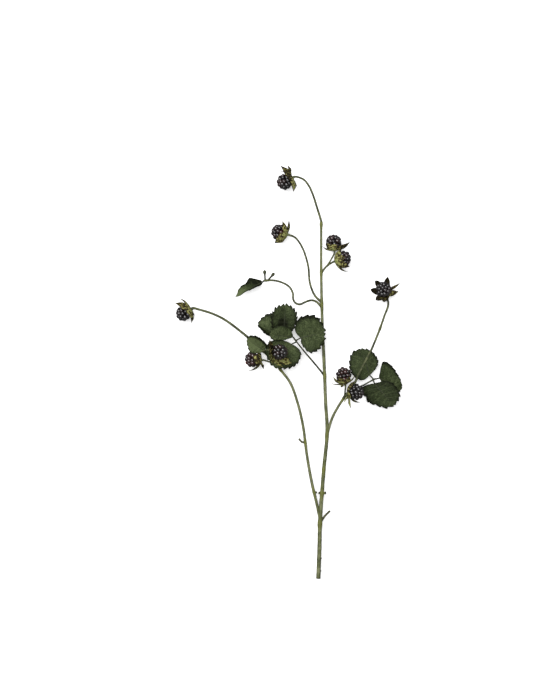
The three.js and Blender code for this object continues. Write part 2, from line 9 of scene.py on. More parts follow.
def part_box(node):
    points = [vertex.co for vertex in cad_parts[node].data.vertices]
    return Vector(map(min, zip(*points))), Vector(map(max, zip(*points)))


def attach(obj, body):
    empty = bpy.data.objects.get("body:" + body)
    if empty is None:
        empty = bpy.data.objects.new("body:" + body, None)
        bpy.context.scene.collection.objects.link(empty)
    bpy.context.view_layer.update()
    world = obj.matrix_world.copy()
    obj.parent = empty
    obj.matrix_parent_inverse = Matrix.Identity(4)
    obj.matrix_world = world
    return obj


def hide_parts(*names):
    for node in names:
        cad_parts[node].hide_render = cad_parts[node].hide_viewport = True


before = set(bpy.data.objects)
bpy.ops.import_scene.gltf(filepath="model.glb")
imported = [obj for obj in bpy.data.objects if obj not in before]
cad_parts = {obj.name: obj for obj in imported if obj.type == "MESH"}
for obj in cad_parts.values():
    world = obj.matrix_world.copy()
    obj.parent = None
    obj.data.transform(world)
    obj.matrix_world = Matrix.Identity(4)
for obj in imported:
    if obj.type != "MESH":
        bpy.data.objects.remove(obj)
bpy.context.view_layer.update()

# ---- Main stem ----
# The cane that everything grows from: green, woody and finely ridged, 5.5 mm thick where it was cut
# through to its pale pith and thinner towards the tip, swollen where side shoots leave it, with stumps of
# shed ones.
MM = 0.001
STEM_STEP = 1.5 * MM  # from one ring of a stem to the next
LINE_SAMPLES = 40  # of the smooth line, from one place on the route to the next
RIDGES = 5
RING_POINTS = 20
RIDGE_HEIGHT = 0.045  # as a share of the radius
TWIST = 0.9  # radians that the ridges wander round a stem, to and fro
TWIST_LENGTH = 90 * MM  # of stem for each radian of that to and fro
ROOT_REACH = 3 * MM  # how far a stem is thicker from its root
FOOT_REACH = 2 * MM  # and from its foot
KNOBBLE = 0.12 * MM  # how far the bark is uneven, for each millimetre of its radius
KNOBBLE_SIZE = 5 * MM
JOINT_SHOWS = 7 * MM  # how far the yellower green reaches from a joint
CREASE = 50  # degrees, above which an edge stays sharp
CUT_REACH = 3 * MM  # more than the radius of any cut end
PITH_RIM = 0.55 * MM
PITH_HOLLOW = 0.35 * MM
CUT_DRIED = 3.3 * MM  # from the middle of the cut to where the bark is green again
STUMP_STEP = 0.4 * MM
STUMP_FLARE = 1.15  # how much thicker a stump is at its root than at its end
STUMP_RIM = 0.25 * MM
STUMP_HOLLOW = 0.2 * MM
STUMP_DRIED = 1.7  # from the middle of a stump's end to where its bark is green again, over its radius

MAIN_RADII = (2.75, 1.5)
MAIN_ROUTE = [
    (0, 0, 2.75),
    (1.5, 39, 3.6),
    (2.5, 76, 5),
    (7, 139, 7.5),
    (11, 184, 9),
    (9, 224, 10.5),
    (7.5, 262, 11.5),
    (5, 318, 12),
    (3.5, 387, 12),
    (3.5, 447, 12.5),
]
# Each joint: how far along the stem it is, how much thicker the stem is there, and over how many
# millimetres.
MAIN_JOINTS = [
    (0.155, 0.22, 5),
    (0.24, 0.2, 2.2),
    (0.307, 0.1, 1.2),
    (0.405, 0.16, 4),
    (0.57, 0.14, 3),
    (0.77, 0.2, 4),
    (0.857, 0.16, 3),
    (0.993, 0.4, 4),
]
# Each stump: where it leaves the stem, where it ends, and its radius.
MAIN_STUMPS = [
    (0.24, (0.2, 108, 6.5), 1.3),
    (0.24, (9.8, 108, 6.5), 1.35),
    (0.055, (4.0, 26, 4), 1.0),
    (0.02, (3.7, 10, 3.2), 0.9),
]

cut_corners = [v.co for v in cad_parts["main_stem"].data.vertices]
cut_y = min(corner.y for corner in cut_corners)
cut_corners = [corner for corner in cut_corners if corner.y < cut_y + MM]
cut_x = (min(corner.x for corner in cut_corners) + max(corner.x for corner in cut_corners)) / 2
cut_y = (min(corner.y for corner in cut_corners) + max(corner.y for corner in cut_corners)) / 2
cut_z = (min(corner.z for corner in cut_corners) + max(corner.z for corner in cut_corners)) / 2
surface_z = cut_z - MAIN_ROUTE[0][2] * MM


def from_cut(place):
    """A place measured in millimetres from the cut end of the main stem, and up from the surface."""
    x, y, z = place
    return Vector((cut_x + x * MM, cut_y + y * MM, surface_z + z * MM))


def length_of(line):
    return sum((b - a).length for a, b in zip(line, line[1:]))


def place_on(line, share):
    """The place that is a share of the way along a line."""
    left = share * length_of(line)
    for start, end in zip(line, line[1:]):
        gap = (end - start).length
        if left <= gap:
            return start.lerp(end, left / gap)
        left -= gap
    return line[-1].copy()


def smooth_line(places, step=STEM_STEP):
    """Places a step apart on the smooth line that a growing stem takes through a few given places."""
    route = [places[0] * 2 - places[1], *places, places[-1] * 2 - places[-2]]
    drawn = []
    for before, start, end, after in zip(route, route[1:], route[2:], route[3:]):
        pull = [math.sqrt((b - a).length) for a, b in ((before, start), (start, end), (end, after))]
        straight = (end - start) / pull[1]
        leaving = (start - before) / pull[0] - (end - before) / (pull[0] + pull[1]) + straight
        arriving = straight - (after - start) / (pull[1] + pull[2]) + (after - end) / pull[2]
        first_handle = start + leaving * pull[1] / 3
        last_handle = end - arriving * pull[1] / 3
        drawn += interpolate_bezier(start, first_handle, last_handle, end, LINE_SAMPLES)
    count = max(3, round(length_of(drawn) / step))
    return [place_on(drawn, i / count) for i in range(count + 1)]


def hump(distance, reach):
    """1 at no distance, falling smoothly to nearly nothing at twice the reach."""
    return math.exp(-((distance / reach) ** 2))


def only(piece):
    """Selects one object alone, so that an operator acts on nothing else."""
    bpy.ops.object.select_all(action="DESELECT")
    piece.select_set(True)
    bpy.context.view_layer.objects.active = piece


def begin(add_shape, name, **sizes):
    """The shape that a piece is modelled from, added alone and named."""
    bpy.ops.object.select_all(action="DESELECT")
    add_shape(**sizes)
    bpy.context.object.name = name
    return bpy.context.object


def edit_all(piece):
    """Enters edit mode with the whole of one piece selected."""
    only(piece)
    bpy.ops.object.mode_set(mode="EDIT")
    bpy.ops.mesh.select_all(action="SELECT")


def shade_points(piece, name, shades):
    """Keeps a shade for each point of a piece, under the name that its material reads."""
    written = piece.data.attributes.new(name, "FLOAT", "POINT")
    for value, shade in zip(written.data, shades):
        value.value = shade


def colour(chart):
    """A colour as a painter's chart gives it, 0 to 255, for a shader's socket."""
    shares = [channel / 255 for channel in chart]
    return (*(s / 12.92 if s <= 0.04045 else ((s + 0.055) / 1.055) ** 2.4 for s in shares), 1)


def new_material(name, roughness, gloss):
    """A material and its shader, with a plain roughness and gloss to start from."""
    material = bpy.data.materials.new(name)
    material.use_nodes = True
    shader = material.node_tree.nodes["Principled BSDF"]
    shader.inputs["Roughness"].default_value = roughness
    shader.inputs["Specular IOR Level"].default_value = gloss
    return material, material.node_tree, shader


def add_node(tree, kind, inputs, **settings):
    """A node with its settings, and for each input a value or the socket that feeds it."""
    node = tree.nodes.new(kind)
    for setting, value in settings.items():
        setattr(node, setting, value)
    for socket, value in inputs.items():
        if isinstance(value, bpy.types.NodeSocket):
            tree.links.new(value, node.inputs[socket])
        else:
            node.inputs[socket].default_value = value
    return node


def add_ramp(tree, factor, stops):
    """Colours blended along a factor, each stop a position and a colour."""
    node = add_node(tree, "ShaderNodeValToRGB", {"Fac": factor})
    ramp = node.color_ramp
    while len(ramp.elements) < len(stops):
        ramp.elements.new(1)
    for element, (position, shade) in zip(ramp.elements, stops):
        element.position = position
        element.color = colour(shade)
    return node.outputs["Color"]


def add_mix(tree, factor, *shades):
    """Two colours, each a socket or from the chart, mixed by a factor."""
    node = tree.nodes.new("ShaderNodeMix")
    node.data_type = "RGBA"
    factor_socket, *colour_sockets = [s for s in node.inputs if s.enabled]
    tree.links.new(factor, factor_socket)
    for socket, shade in zip(colour_sockets, shades):
        if isinstance(shade, bpy.types.NodeSocket):
            tree.links.new(shade, socket)
        else:
            socket.default_value = colour(shade)
    return next(s for s in node.outputs if s.enabled)


def add_noise(tree, vector, scale, detail=3, roughness=0.55):
    """Smooth random shades at a scale, read from a vector."""
    values = {"Vector": vector, "Scale": scale, "Detail": detail, "Roughness": roughness}
    return add_node(tree, "ShaderNodeTexNoise", values).outputs["Fac"]


def add_sum(tree, first, share, second):
    """first plus a share of second."""
    node = add_node(tree, "ShaderNodeMath", {0: second, 1: share, 2: first}, operation="MULTIPLY_ADD")
    return node.outputs[0]


def add_product(tree, first, second, **settings):
    factors = {0: first, 1: second}
    return add_node(tree, "ShaderNodeMath", factors, operation="MULTIPLY", **settings).outputs[0]


def add_range(tree, value, low, high, start=0, end=1):
    """A value that runs from start to end, stretched to run from low to high."""
    ends = {"Value": value, "From Min": start, "From Max": end, "To Min": low, "To Max": high}
    return add_node(tree, "ShaderNodeMapRange", ends).outputs[0]


def object_place(tree):
    return tree.nodes.new("ShaderNodeTexCoord").outputs["Object"]


def flat_place(tree):
    return tree.nodes.new("ShaderNodeUVMap").outputs["UV"]


def point_shade(tree, name):
    """The shade that the points of a piece keep under a name."""
    return add_node(tree, "ShaderNodeAttribute", {}, attribute_name=name).outputs["Fac"]


def dress(tree, shader, base, height, strength, depth):
    """Gives a shader its colour, and a relief in millimetres from a height."""
    tree.links.new(base, shader.inputs["Base Color"])
    relief = {"Height": height, "Strength": strength, "Distance": depth * MM}
    bump = add_node(tree, "ShaderNodeBump", relief)
    tree.links.new(bump.outputs["Normal"], shader.inputs["Normal"])


def grain_vector(tree, stretch):
    """Where a point is round the stem and, drawn out by stretch, along it: streaks meet all round."""
    unwrapped = add_node(tree, "ShaderNodeSeparateXYZ", {"Vector": flat_place(tree)})
    angle = add_product(tree, unwrapped.outputs["Y"], 2 * math.pi)
    across = add_node(tree, "ShaderNodeMath", {0: angle}, operation="COSINE")
    over = add_node(tree, "ShaderNodeMath", {0: angle}, operation="SINE")
    along = add_product(tree, unwrapped.outputs["X"], stretch)
    axes = {"X": across.outputs[0], "Y": over.outputs[0], "Z": along}
    return add_node(tree, "ShaderNodeCombineXYZ", axes).outputs[0]


def bark(name, dark, middle, light, joint_shade):
    """Green bark: long streaks over soft mottling, yellower at the joints, dull and finely ridged."""
    material, tree, shader = new_material(name, roughness=0.6, gloss=0.3)
    place = object_place(tree)
    mottle = add_noise(tree, place, 130, 4)
    streaks = add_noise(tree, grain_vector(tree, 0.05), 1.9, 4)
    both = add_sum(tree, mottle, 0.75, streaks)
    green = add_ramp(tree, both, [(0.52, dark), (0.86, middle), (1, light)])
    near_joint = add_product(tree, point_shade(tree, "joint"), mottle)
    shaded = add_mix(tree, add_product(tree, near_joint, 1.5, use_clamp=True), green, joint_shade)
    freckles = add_noise(tree, place, 900, 2)
    freckled = add_ramp(tree, freckles, [(0.64, (0, 0, 0)), (0.7, (255, 255, 255))])
    base = add_mix(tree, add_product(tree, freckled, 0.35), shaded, dark)
    tree.links.new(add_range(tree, mottle, 0.48, 0.74), shader.inputs["Roughness"])
    grooves = add_noise(tree, grain_vector(tree, 0.03), 5.5, 4)
    dress(tree, shader, base, add_sum(tree, grooves, 0.35, freckles), 0.5, 0.25)
    return material


def bare_wood(name, roughness, gloss, grain_scale, detail, stops, relief):
    """What shows where the bark ends: one grain in both its colour and its relief."""
    material, tree, shader = new_material(name, roughness, gloss)
    grain = add_noise(tree, object_place(tree), grain_scale, detail)
    dress(tree, shader, add_ramp(tree, grain, stops), grain, relief, 0.2)
    return material


green_bark = bark("green_bark", (50, 54, 30), (85, 90, 56), (112, 115, 82), (98, 102, 42))
dried_bark = bark("dried_bark", (24, 24, 13), (52, 53, 30), (84, 84, 54), (74, 76, 36))
pith_stops = [(0.35, (140, 132, 94)), (0.6, (190, 186, 148))]
cut_pith = bare_wood("cut_pith", 0.8, 0.2, 1600, 3, pith_stops, 0.4)
dead_stops = [(0.35, (14, 13, 8)), (0.65, (48, 44, 26))]
dead_wood = bare_wood("dead_wood", 0.85, 0.15, 900, 4, dead_stops, 0.6)

# The ring that is swept along every stem: round, with low ridges.
stem_ring = begin(bpy.ops.curve.primitive_bezier_circle_add, "stem_ring", radius=MM)
stem_ring.data.splines.clear()
ring_line = stem_ring.data.splines.new("POLY")
ring_line.points.add(RING_POINTS - 1)
ring_line.use_cyclic_u = True
for i, point in enumerate(ring_line.points):
    turned = 2 * math.pi * i / RING_POINTS
    out = MM * (1 + RIDGE_HEIGHT * math.cos(RIDGES * turned))
    point.co = (out * math.cos(turned), out * math.sin(turned), 0, 1)

unevenness = bpy.data.textures.new("unevenness", "CLOUDS")
unevenness.noise_scale = KNOBBLE_SIZE


def sweep_stem(name, line, radii, material, joints=(), root=0.0, foot=0.0):
    """A round stem along its line. It is thicker at its joints, at its root by the share root, where it
    grows out of another, and at its foot by the share foot, where it carries a fruit or a leaf."""
    stem = begin(bpy.ops.curve.primitive_nurbs_path_add, name)
    stem.data.splines.clear()
    spline = stem.data.splines.new("POLY")
    spline.points.add(len(line) - 1)
    whole = length_of(line)
    nearness = []
    for i, place in enumerate(line):
        gone = whole * i / (len(line) - 1)
        from_joints = [gone - share * whole for share, _, _ in joints]
        swollen = sum(more * hump(off, reach * MM) for off, (_, more, reach) in zip(from_joints, joints))
        swollen += root * math.exp(-gone / ROOT_REACH) + foot * math.exp(-(whole - gone) / FOOT_REACH)
        spline.points[i].co = (*place, 1)
        spline.points[i].radius = (radii[0] + (radii[1] - radii[0]) * gone / whole) * (1 + swollen)
        spline.points[i].tilt = TWIST * math.sin(gone / TWIST_LENGTH)
        from_root = math.exp(-gone / JOINT_SHOWS) if root else 0
        nearness.append(max([from_root] + [hump(off, JOINT_SHOWS) for off in from_joints]))
    stem.data.dimensions = "3D"
    stem.data.bevel_mode = "OBJECT"
    stem.data.bevel_object = stem_ring
    stem.data.use_fill_caps = True
    only(stem)
    bpy.ops.object.convert(target="MESH")
    edit_all(stem)
    bpy.ops.mesh.remove_doubles(threshold=0.001 * MM)
    bpy.ops.mesh.normals_make_consistent(inside=False)
    bpy.ops.object.mode_set(mode="OBJECT")
    for corner in stem.data.uv_layers["UVMap"].data:
        corner.uv.x *= whole / MM
    uneven = stem.modifiers.new("uneven", "DISPLACE")
    uneven.texture = unevenness
    uneven.texture_coords = "LOCAL"
    uneven.strength = KNOBBLE * radii[0]
    bpy.ops.object.modifier_apply(modifier="uneven")
    rings = kdtree.KDTree(len(line))
    for i, place in enumerate(line):
        rings.insert(place, i)
    rings.balance()
    shade_points(stem, "joint", [nearness[rings.find(vertex.co)[1]] for vertex in stem.data.vertices])
    stem.data.materials.append(material)
    return stem


def cut_across(piece, line, material, rim, hollow):
    """The face at the end of a line where a stem was cut or broken off, set in from the bark and sunk."""
    facing = (line[-1] - line[-2]).normalized()
    piece.data.materials.append(material)
    only(piece)
    bpy.ops.object.mode_set(mode="EDIT")
    bpy.ops.mesh.select_mode(type="FACE")
    bpy.ops.mesh.select_all(action="DESELECT")
    bpy.ops.object.mode_set(mode="OBJECT")
    for face in piece.data.polygons:
        near = (face.center - line[-1]).length < CUT_REACH
        face.select = near and face.normal.dot(facing) > 0.9
    bpy.ops.object.mode_set(mode="EDIT")
    bpy.ops.mesh.dissolve_faces()
    bpy.ops.mesh.inset(thickness=rim, depth=-hollow)
    piece.active_material_index = len(piece.data.materials) - 1
    bpy.ops.object.material_slot_assign()
    bpy.ops.mesh.inset(thickness=rim * 0.6, depth=hollow * 0.4)
    bpy.ops.object.mode_set(mode="OBJECT")


def dry_back(piece, line, reach, material):
    """Gives the bark next to the cut or broken end of a line the look of what it has dried to."""
    if material.name not in piece.data.materials:
        piece.data.materials.append(material)
    slot = piece.data.materials.find(material.name)
    for face in piece.data.polygons:
        if (face.center - line[-1]).length < reach and face.material_index == 0:
            face.material_index = slot


def join_all(piece, parts):
    """Makes the parts one mesh with the piece that they belong to."""
    only(piece)
    for part in parts:
        part.select_set(True)
    bpy.ops.object.join()
    return piece


def grow_stump(line, share, end, radius):
    """The stump of a shed shoot, from inside its stem to its dark broken end."""
    root = place_on(line, share)
    stump_line = smooth_line([root, root.lerp(from_cut(end), 0.5), from_cut(end)], STUMP_STEP)
    stump = sweep_stem("stump", stump_line, (radius * STUMP_FLARE, radius), green_bark, root=0.3)
    cut_across(stump, stump_line, dead_wood, STUMP_RIM, STUMP_HOLLOW)
    dry_back(stump, stump_line, STUMP_DRIED * radius * MM, dead_wood)
    return stump


def finish_stem(stem, node):
    """Smooths a stem, rides it on the body and lets it stand for its node."""
    only(stem)
    bpy.ops.object.shade_smooth_by_angle(angle=math.radians(CREASE))
    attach(stem, "root")
    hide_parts(node)


main_line = smooth_line([from_cut(place) for place in MAIN_ROUTE])
lines = {"main_stem": main_line}
main_stem = sweep_stem("main_stem_bark", main_line, MAIN_RADII, green_bark, MAIN_JOINTS)
cut_across(main_stem, main_line[::-1], cut_pith, PITH_RIM, PITH_HOLLOW)
dry_back(main_stem, main_line[::-1], CUT_DRIED, dried_bark)
join_all(main_stem, [grow_stump(main_line, *stump) for stump in MAIN_STUMPS])
finish_stem(main_stem, "main_stem")

# ---- Side branches ----
# Two branches as woody as the stem they fork from, each the start of a long stalk with a berry at its far
# end. A collar of yellower bark shows where a branch has grown out of the stem.
BRANCHES = {
    "left_branch": {
        "grows_from": ("main_stem", 0.165),
        "radii": (1.9, 1.6),
        "route": [
            (-0.8, 89, 6),
            (-3.5, 101, 6.5),
            (-8, 120, 7),
            (-14.5, 157, 8),
            (-19, 191, 9),
            (-26, 221, 9.5),
            (-35, 245.5, 10),
            (-49, 264.5, 10),
        ],
        "joints": [(0.18, 0.14, 1.8), (0.5, 0.14, 2.5), (0.99, 0.25, 3)],
        "stumps": [(0.18, (-1.6, 108.5, 7), 1.1)],
    },
    "right_branch": {
        "grows_from": ("main_stem", 0.405),
        "radii": (1.6, 1.6),
        "route": [(15.5, 197, 9), (20, 207.5, 8.5), (25.5, 217, 8), (33, 228.5, 7)],
        "joints": [(0.97, 0.25, 3)],
        "stumps": [],
    },
}


def stem_line(grows_from, route, step=STEM_STEP):
    """The line of a stem that leaves another one a share of the way along it, and goes its own way."""
    stem_below, share = grows_from
    return smooth_line([place_on(lines[stem_below], share), *(from_cut(place) for place in route)], step)


for name, branch in BRANCHES.items():
    lines[name] = stem_line(branch["grows_from"], branch["route"])
    grown = sweep_stem(name + "_bark", lines[name], branch["radii"], green_bark, branch["joints"], root=0.3)
    join_all(grown, [grow_stump(lines[name], *stump) for stump in branch["stumps"]])
    finish_stem(grown, name)

# ---- Cut stubs of side shoots ----
# Two short side shoots that were cut off above their first joint. They have dried brown, and black at the
# end.
STUBS = {
    "right_stub": (("main_stem", 0.155), (1.15, 1.35), [(7.5, 78, 6), (14.5, 85.5, 8)]),
    "left_stub": (("left_branch", 0.5), (1.05, 1.25), [(-20, 171.5, 9), (-24.5, 176, 10)]),
}
STUB_STEP = 0.7 * MM
STUB_RIM = 0.25 * MM
STUB_HOLLOW = 0.25 * MM
for name, (grows_from, radii, route) in STUBS.items():
    line = stem_line(grows_from, route, STUB_STEP)
    stub = sweep_stem(name + "_bark", line, radii, dried_bark, root=0.5)
    cut_across(stub, line, dead_wood, STUB_RIM, STUB_HOLLOW)
    finish_stem(stub, name)

# ---- Fruit stalks ----
# The long thin stalks that carry the berries, springy and a darker green than the branches, with a joint
# here and there. Each widens into the foot of its berry's calyx, on the side away from where the berry
# faces.
BERRY_TIP_EXTRA = 0.3 * MM  # how far a berry's long tip moves its box's middle
CALYX_FOOT = 10.9 * MM  # from the middle of a berry to the underside of its calyx
STRAIGHT_END = 3.3 * MM
GRAFT = 3 * MM  # how far a stalk that runs on from a stem starts inside the end of it
GRAFT_THICKER = 0.08
ROOT_THICKER = 0.45
FOOT_THICKER = 0.7

BERRY_FACES = {
    "tip": (-0.86, -0.42, -0.3),
    "upper_left": (-0.88, 0.28, -0.36),
    "pair_upper": (-0.05, 0.9, -0.35),
    "pair_lower": (0.88, 0.3, -0.35),
    "right": (-0.2, 0.25, 0.93),
    "far_left": (-0.82, -0.45, -0.3),
    "low_left": (-0.95, 0.05, -0.25),
    "cluster": (0.75, -0.15, 0.62),
    "upper_right": (-0.15, 0.95, -0.12),
    "lower_right": (0.93, 0.3, -0.08),
}
berry_ways = {name: Vector(way).normalized() for name, way in BERRY_FACES.items()}
berry_middles = {}
for name, way in berry_ways.items():
    low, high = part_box(name + "_berry")
    berry_middles[name] = (low + high) / 2 - way * BERRY_TIP_EXTRA

# Each stalk: where it leaves its stem, its radii, its route, the joints on it and the berry that it
# carries.
FRUIT_STALKS = {
    "tip_stalk": (
        ("main_stem", 1),
        (1.5, 1.2),
        [(-1.5, 464, 13.5), (-7, 481, 15), (-12, 492, 15), (-18.5, 500, 13.5)],
        [],
        "tip",
    ),
    "upper_left_stalk": (
        ("main_stem", 0.775),
        (1.4, 1.2),
        [(-4.5, 355, 12.5), (-10.5, 370, 13.5), (-13, 393, 15), (-20.5, 415.5, 15), (-29, 427.5, 13)],
        [],
        "upper_left",
    ),
    "pair_stalk": (
        ("main_stem", 0.857),
        (1.2, 1.05),
        [(7, 388, 12), (11.5, 392.8, 12), (15, 395, 12.2)],
        [(0.5, 0.25, 1.5)],
        "pair_lower",
    ),
    "pair_side_stalk": (("pair_stalk", 0.5), (1, 1), [(16, 400.5, 12.5)], [], "pair_upper"),
    "left_berry_stalk": (
        ("left_branch", 1),
        (1.6, 1.5),
        [
            (-59, 276, 10),
            (-78, 294, 10),
            (-98, 311, 11),
            (-118, 325.5, 12.5),
            (-134, 333, 13.5),
            (-149, 337.5, 13),
        ],
        [(0.07, 0.3, 3.5)],
        "far_left",
    ),
    "low_left_stalk": (("left_berry_stalk", 0.065), (1, 1), [(-62.5, 272.5, 10.5)], [], "low_left"),
    "cluster_stalk": (
        ("left_berry_stalk", 0.13),
        (1, 1),
        [(-65, 281.5, 14.5), (-69.5, 285, 20), (-67, 287, 25)],
        [],
        "cluster",
    ),
    "right_berry_stalk": (
        ("right_branch", 1),
        (1.55, 1.25),
        [
            (41.5, 239, 9),
            (46.5, 248, 11.5),
            (51, 258.5, 13.5),
            (58, 272, 14.5),
            (65.5, 286, 14),
            (76.5, 312, 9),
            (83, 330, 4.5),
            (88, 345, 2),
        ],
        [(0.05, 0.25, 3), (0.66, 0.3, 2.5)],
        "right",
    ),
    "upper_right_stalk": (("right_berry_stalk", 0.02), (1, 1), [(33.5, 237, 11)], [], "upper_right"),
    "lower_right_stalk": (("right_branch", 0.96), (1, 1), [(31.5, 228.5, 13.5)], [], "lower_right"),
}

stalk_bark = bark("stalk_bark", (28, 31, 16), (57, 62, 35), (94, 98, 66), (78, 82, 38))
for name, ((stem_below, share), radii, route, joints, fruit) in FRUIT_STALKS.items():
    foot = berry_middles[fruit] - berry_ways[fruit] * CALYX_FOOT
    before_foot = foot - berry_ways[fruit] * STRAIGHT_END
    places = [place_on(lines[stem_below], share), *(from_cut(place) for place in route)]
    places += [before_foot, foot]
    if share == 1:
        places.insert(0, place_on(lines[stem_below], 1 - GRAFT / length_of(lines[stem_below])))
    lines[name] = smooth_line(places)
    root_thicker = GRAFT_THICKER if share == 1 else ROOT_THICKER
    stalk = sweep_stem(name + "_bark", lines[name], radii, stalk_bark, joints, root_thicker, FOOT_THICKER)
    finish_stem(stalk, name)

# ---- Curly twig ----
# A thin side shoot that turns right round on itself, as a shoot does that has grown past something, and
# ends in a small leaf and two buds. It is one growth, woody at its root and soft at its end.
curly_route = [
    (-3, 347.5, 12.5),
    (-9, 349, 13.5),
    (-16, 347, 14),
    (-23, 344, 13.5),
    (-28.5, 345.5, 13),
    (-31.5, 350.5, 13),
    (-32, 358, 13.5),
    (-36.5, 366, 14),
    (-46, 371.5, 14.5),
    (-57, 374, 14.5),
    (-68, 373.5, 14),
]
lines["curly_twig"] = stem_line(("main_stem", 0.762), curly_route)
curly_joints = [(0.97, 0.3, 3)]
curly_twig = sweep_stem(
    "curly_twig_bark", lines["curly_twig"], (1.4, 1.2), stalk_bark, curly_joints, ROOT_THICKER
)
finish_stem(curly_twig, "curly_twig")

# ---- Leaf stalks ----
# The three stalks that each hold a leaf of three leaflets away from the stem. They are thin, soft and
# very dark green, and so are the stalklets under the leaflets.
leaf_stalk_bark = bark("leaf_stalk_bark", (14, 17, 8), (32, 37, 19), (60, 64, 38), (44, 48, 22))
LEAF_STALK_JOINTS = [(0.97, 0.2, 2.5)]
LEAF_STALKS = {
    "centre_leaf_stalk": (
        ("main_stem", 0.57),
        (1.2, 0.9),
        [(-1, 265.5, 14), (-9, 275, 16), (-20, 288, 18.5), (-31, 302, 22)],
    ),
    "left_leaf_stalk": (
        ("left_berry_stalk", 0.02),
        (1.1, 0.9),
        [(-54, 276, 11), (-55, 288, 11.5), (-51, 296, 12), (-44.5, 301, 13)],
    ),
    "right_leaf_stalk": (
        ("right_berry_stalk", 0.07),
        (1.1, 0.9),
        [(46, 238.5, 7.5), (54.5, 242, 7.5), (70, 250.5, 9)],
    ),
}
for name, (grows_from, radii, route) in LEAF_STALKS.items():
    lines[name] = stem_line(grows_from, route)
    stalk = sweep_stem(name + "_bark", lines[name], radii, leaf_stalk_bark, LEAF_STALK_JOINTS, root=0.5)
    finish_stem(stalk, name)

# ---- Leaves ----
# Round leaflets with coarse forward-pointing teeth and a puckered face between sunken veins, dark and
# matt above and paler below, where the veins stand out. Each hangs on a short stalklet that runs on under
# it as its midrib.
LEAF_THICKNESS = 0.32 * MM
TOOTH_SAMPLES = 11
TOOTH_PEAK = 0.8  # share of a tooth's base at which it is tallest, towards the leaf's tip
HALF_ACROSS = 15
MARGIN_STEP = 0.5 * MM
RIB_SPACING = 1.5  # above 1, the rows of the blade stand closer on the midrib near its base
TEETH_FROM = 0.42  # share of the midrib that the teeth stand out from
TOOTHLESS = 0.13  # share of the margin, from the base, that has no teeth
TOOTH_SIZES = (0.8, 1.25)  # the least and the greatest, as a share of the leaf's own
TOOTH_SET_BACK = 0.3  # how far the notches cut into the margin, as a share of a tooth
TOOTH_FORWARD = 0.45  # how far a tooth is drawn on to the tip, as a share of its height
SIDE_VEINS = 0.9  # for each tooth
FIRST_VEIN = 0.06  # share of the margin at which the first of them ends
VEIN_DEPTH = 0.3
VEIN_WIDTH = 0.45
PUCKER = 0.5  # how far the blade stands up between two side veins
UNEVEN = 1.3  # how far the blade is uneven towards its margins
UNEVEN_WAVE = 0.09  # of those humps for each millimetre
RUFFLE = 0.6  # how far the margins wave up and down
RUFFLE_WAVE = 17  # radians of that wave from base to tip
FOLD_ROUNDING = 1.2  # how softly the two halves meet at the midrib
MARGIN_DARKER = 0.85
RIB_BELOW = 0.55  # from the blade's face down to the middle of the rib under it
STALKLET_BEND = 0.55  # where the stalklet bends, as a share of the way to the blade's base
STALKLET_SAG = -0.1
RIB_RADII = (0.85, 0.28)
RIB_SHARES = (0, 0.15, 0.35, 0.6, 0.85)  # of the midrib, where the rib's places are
RIB_STEP = 1.2 * MM

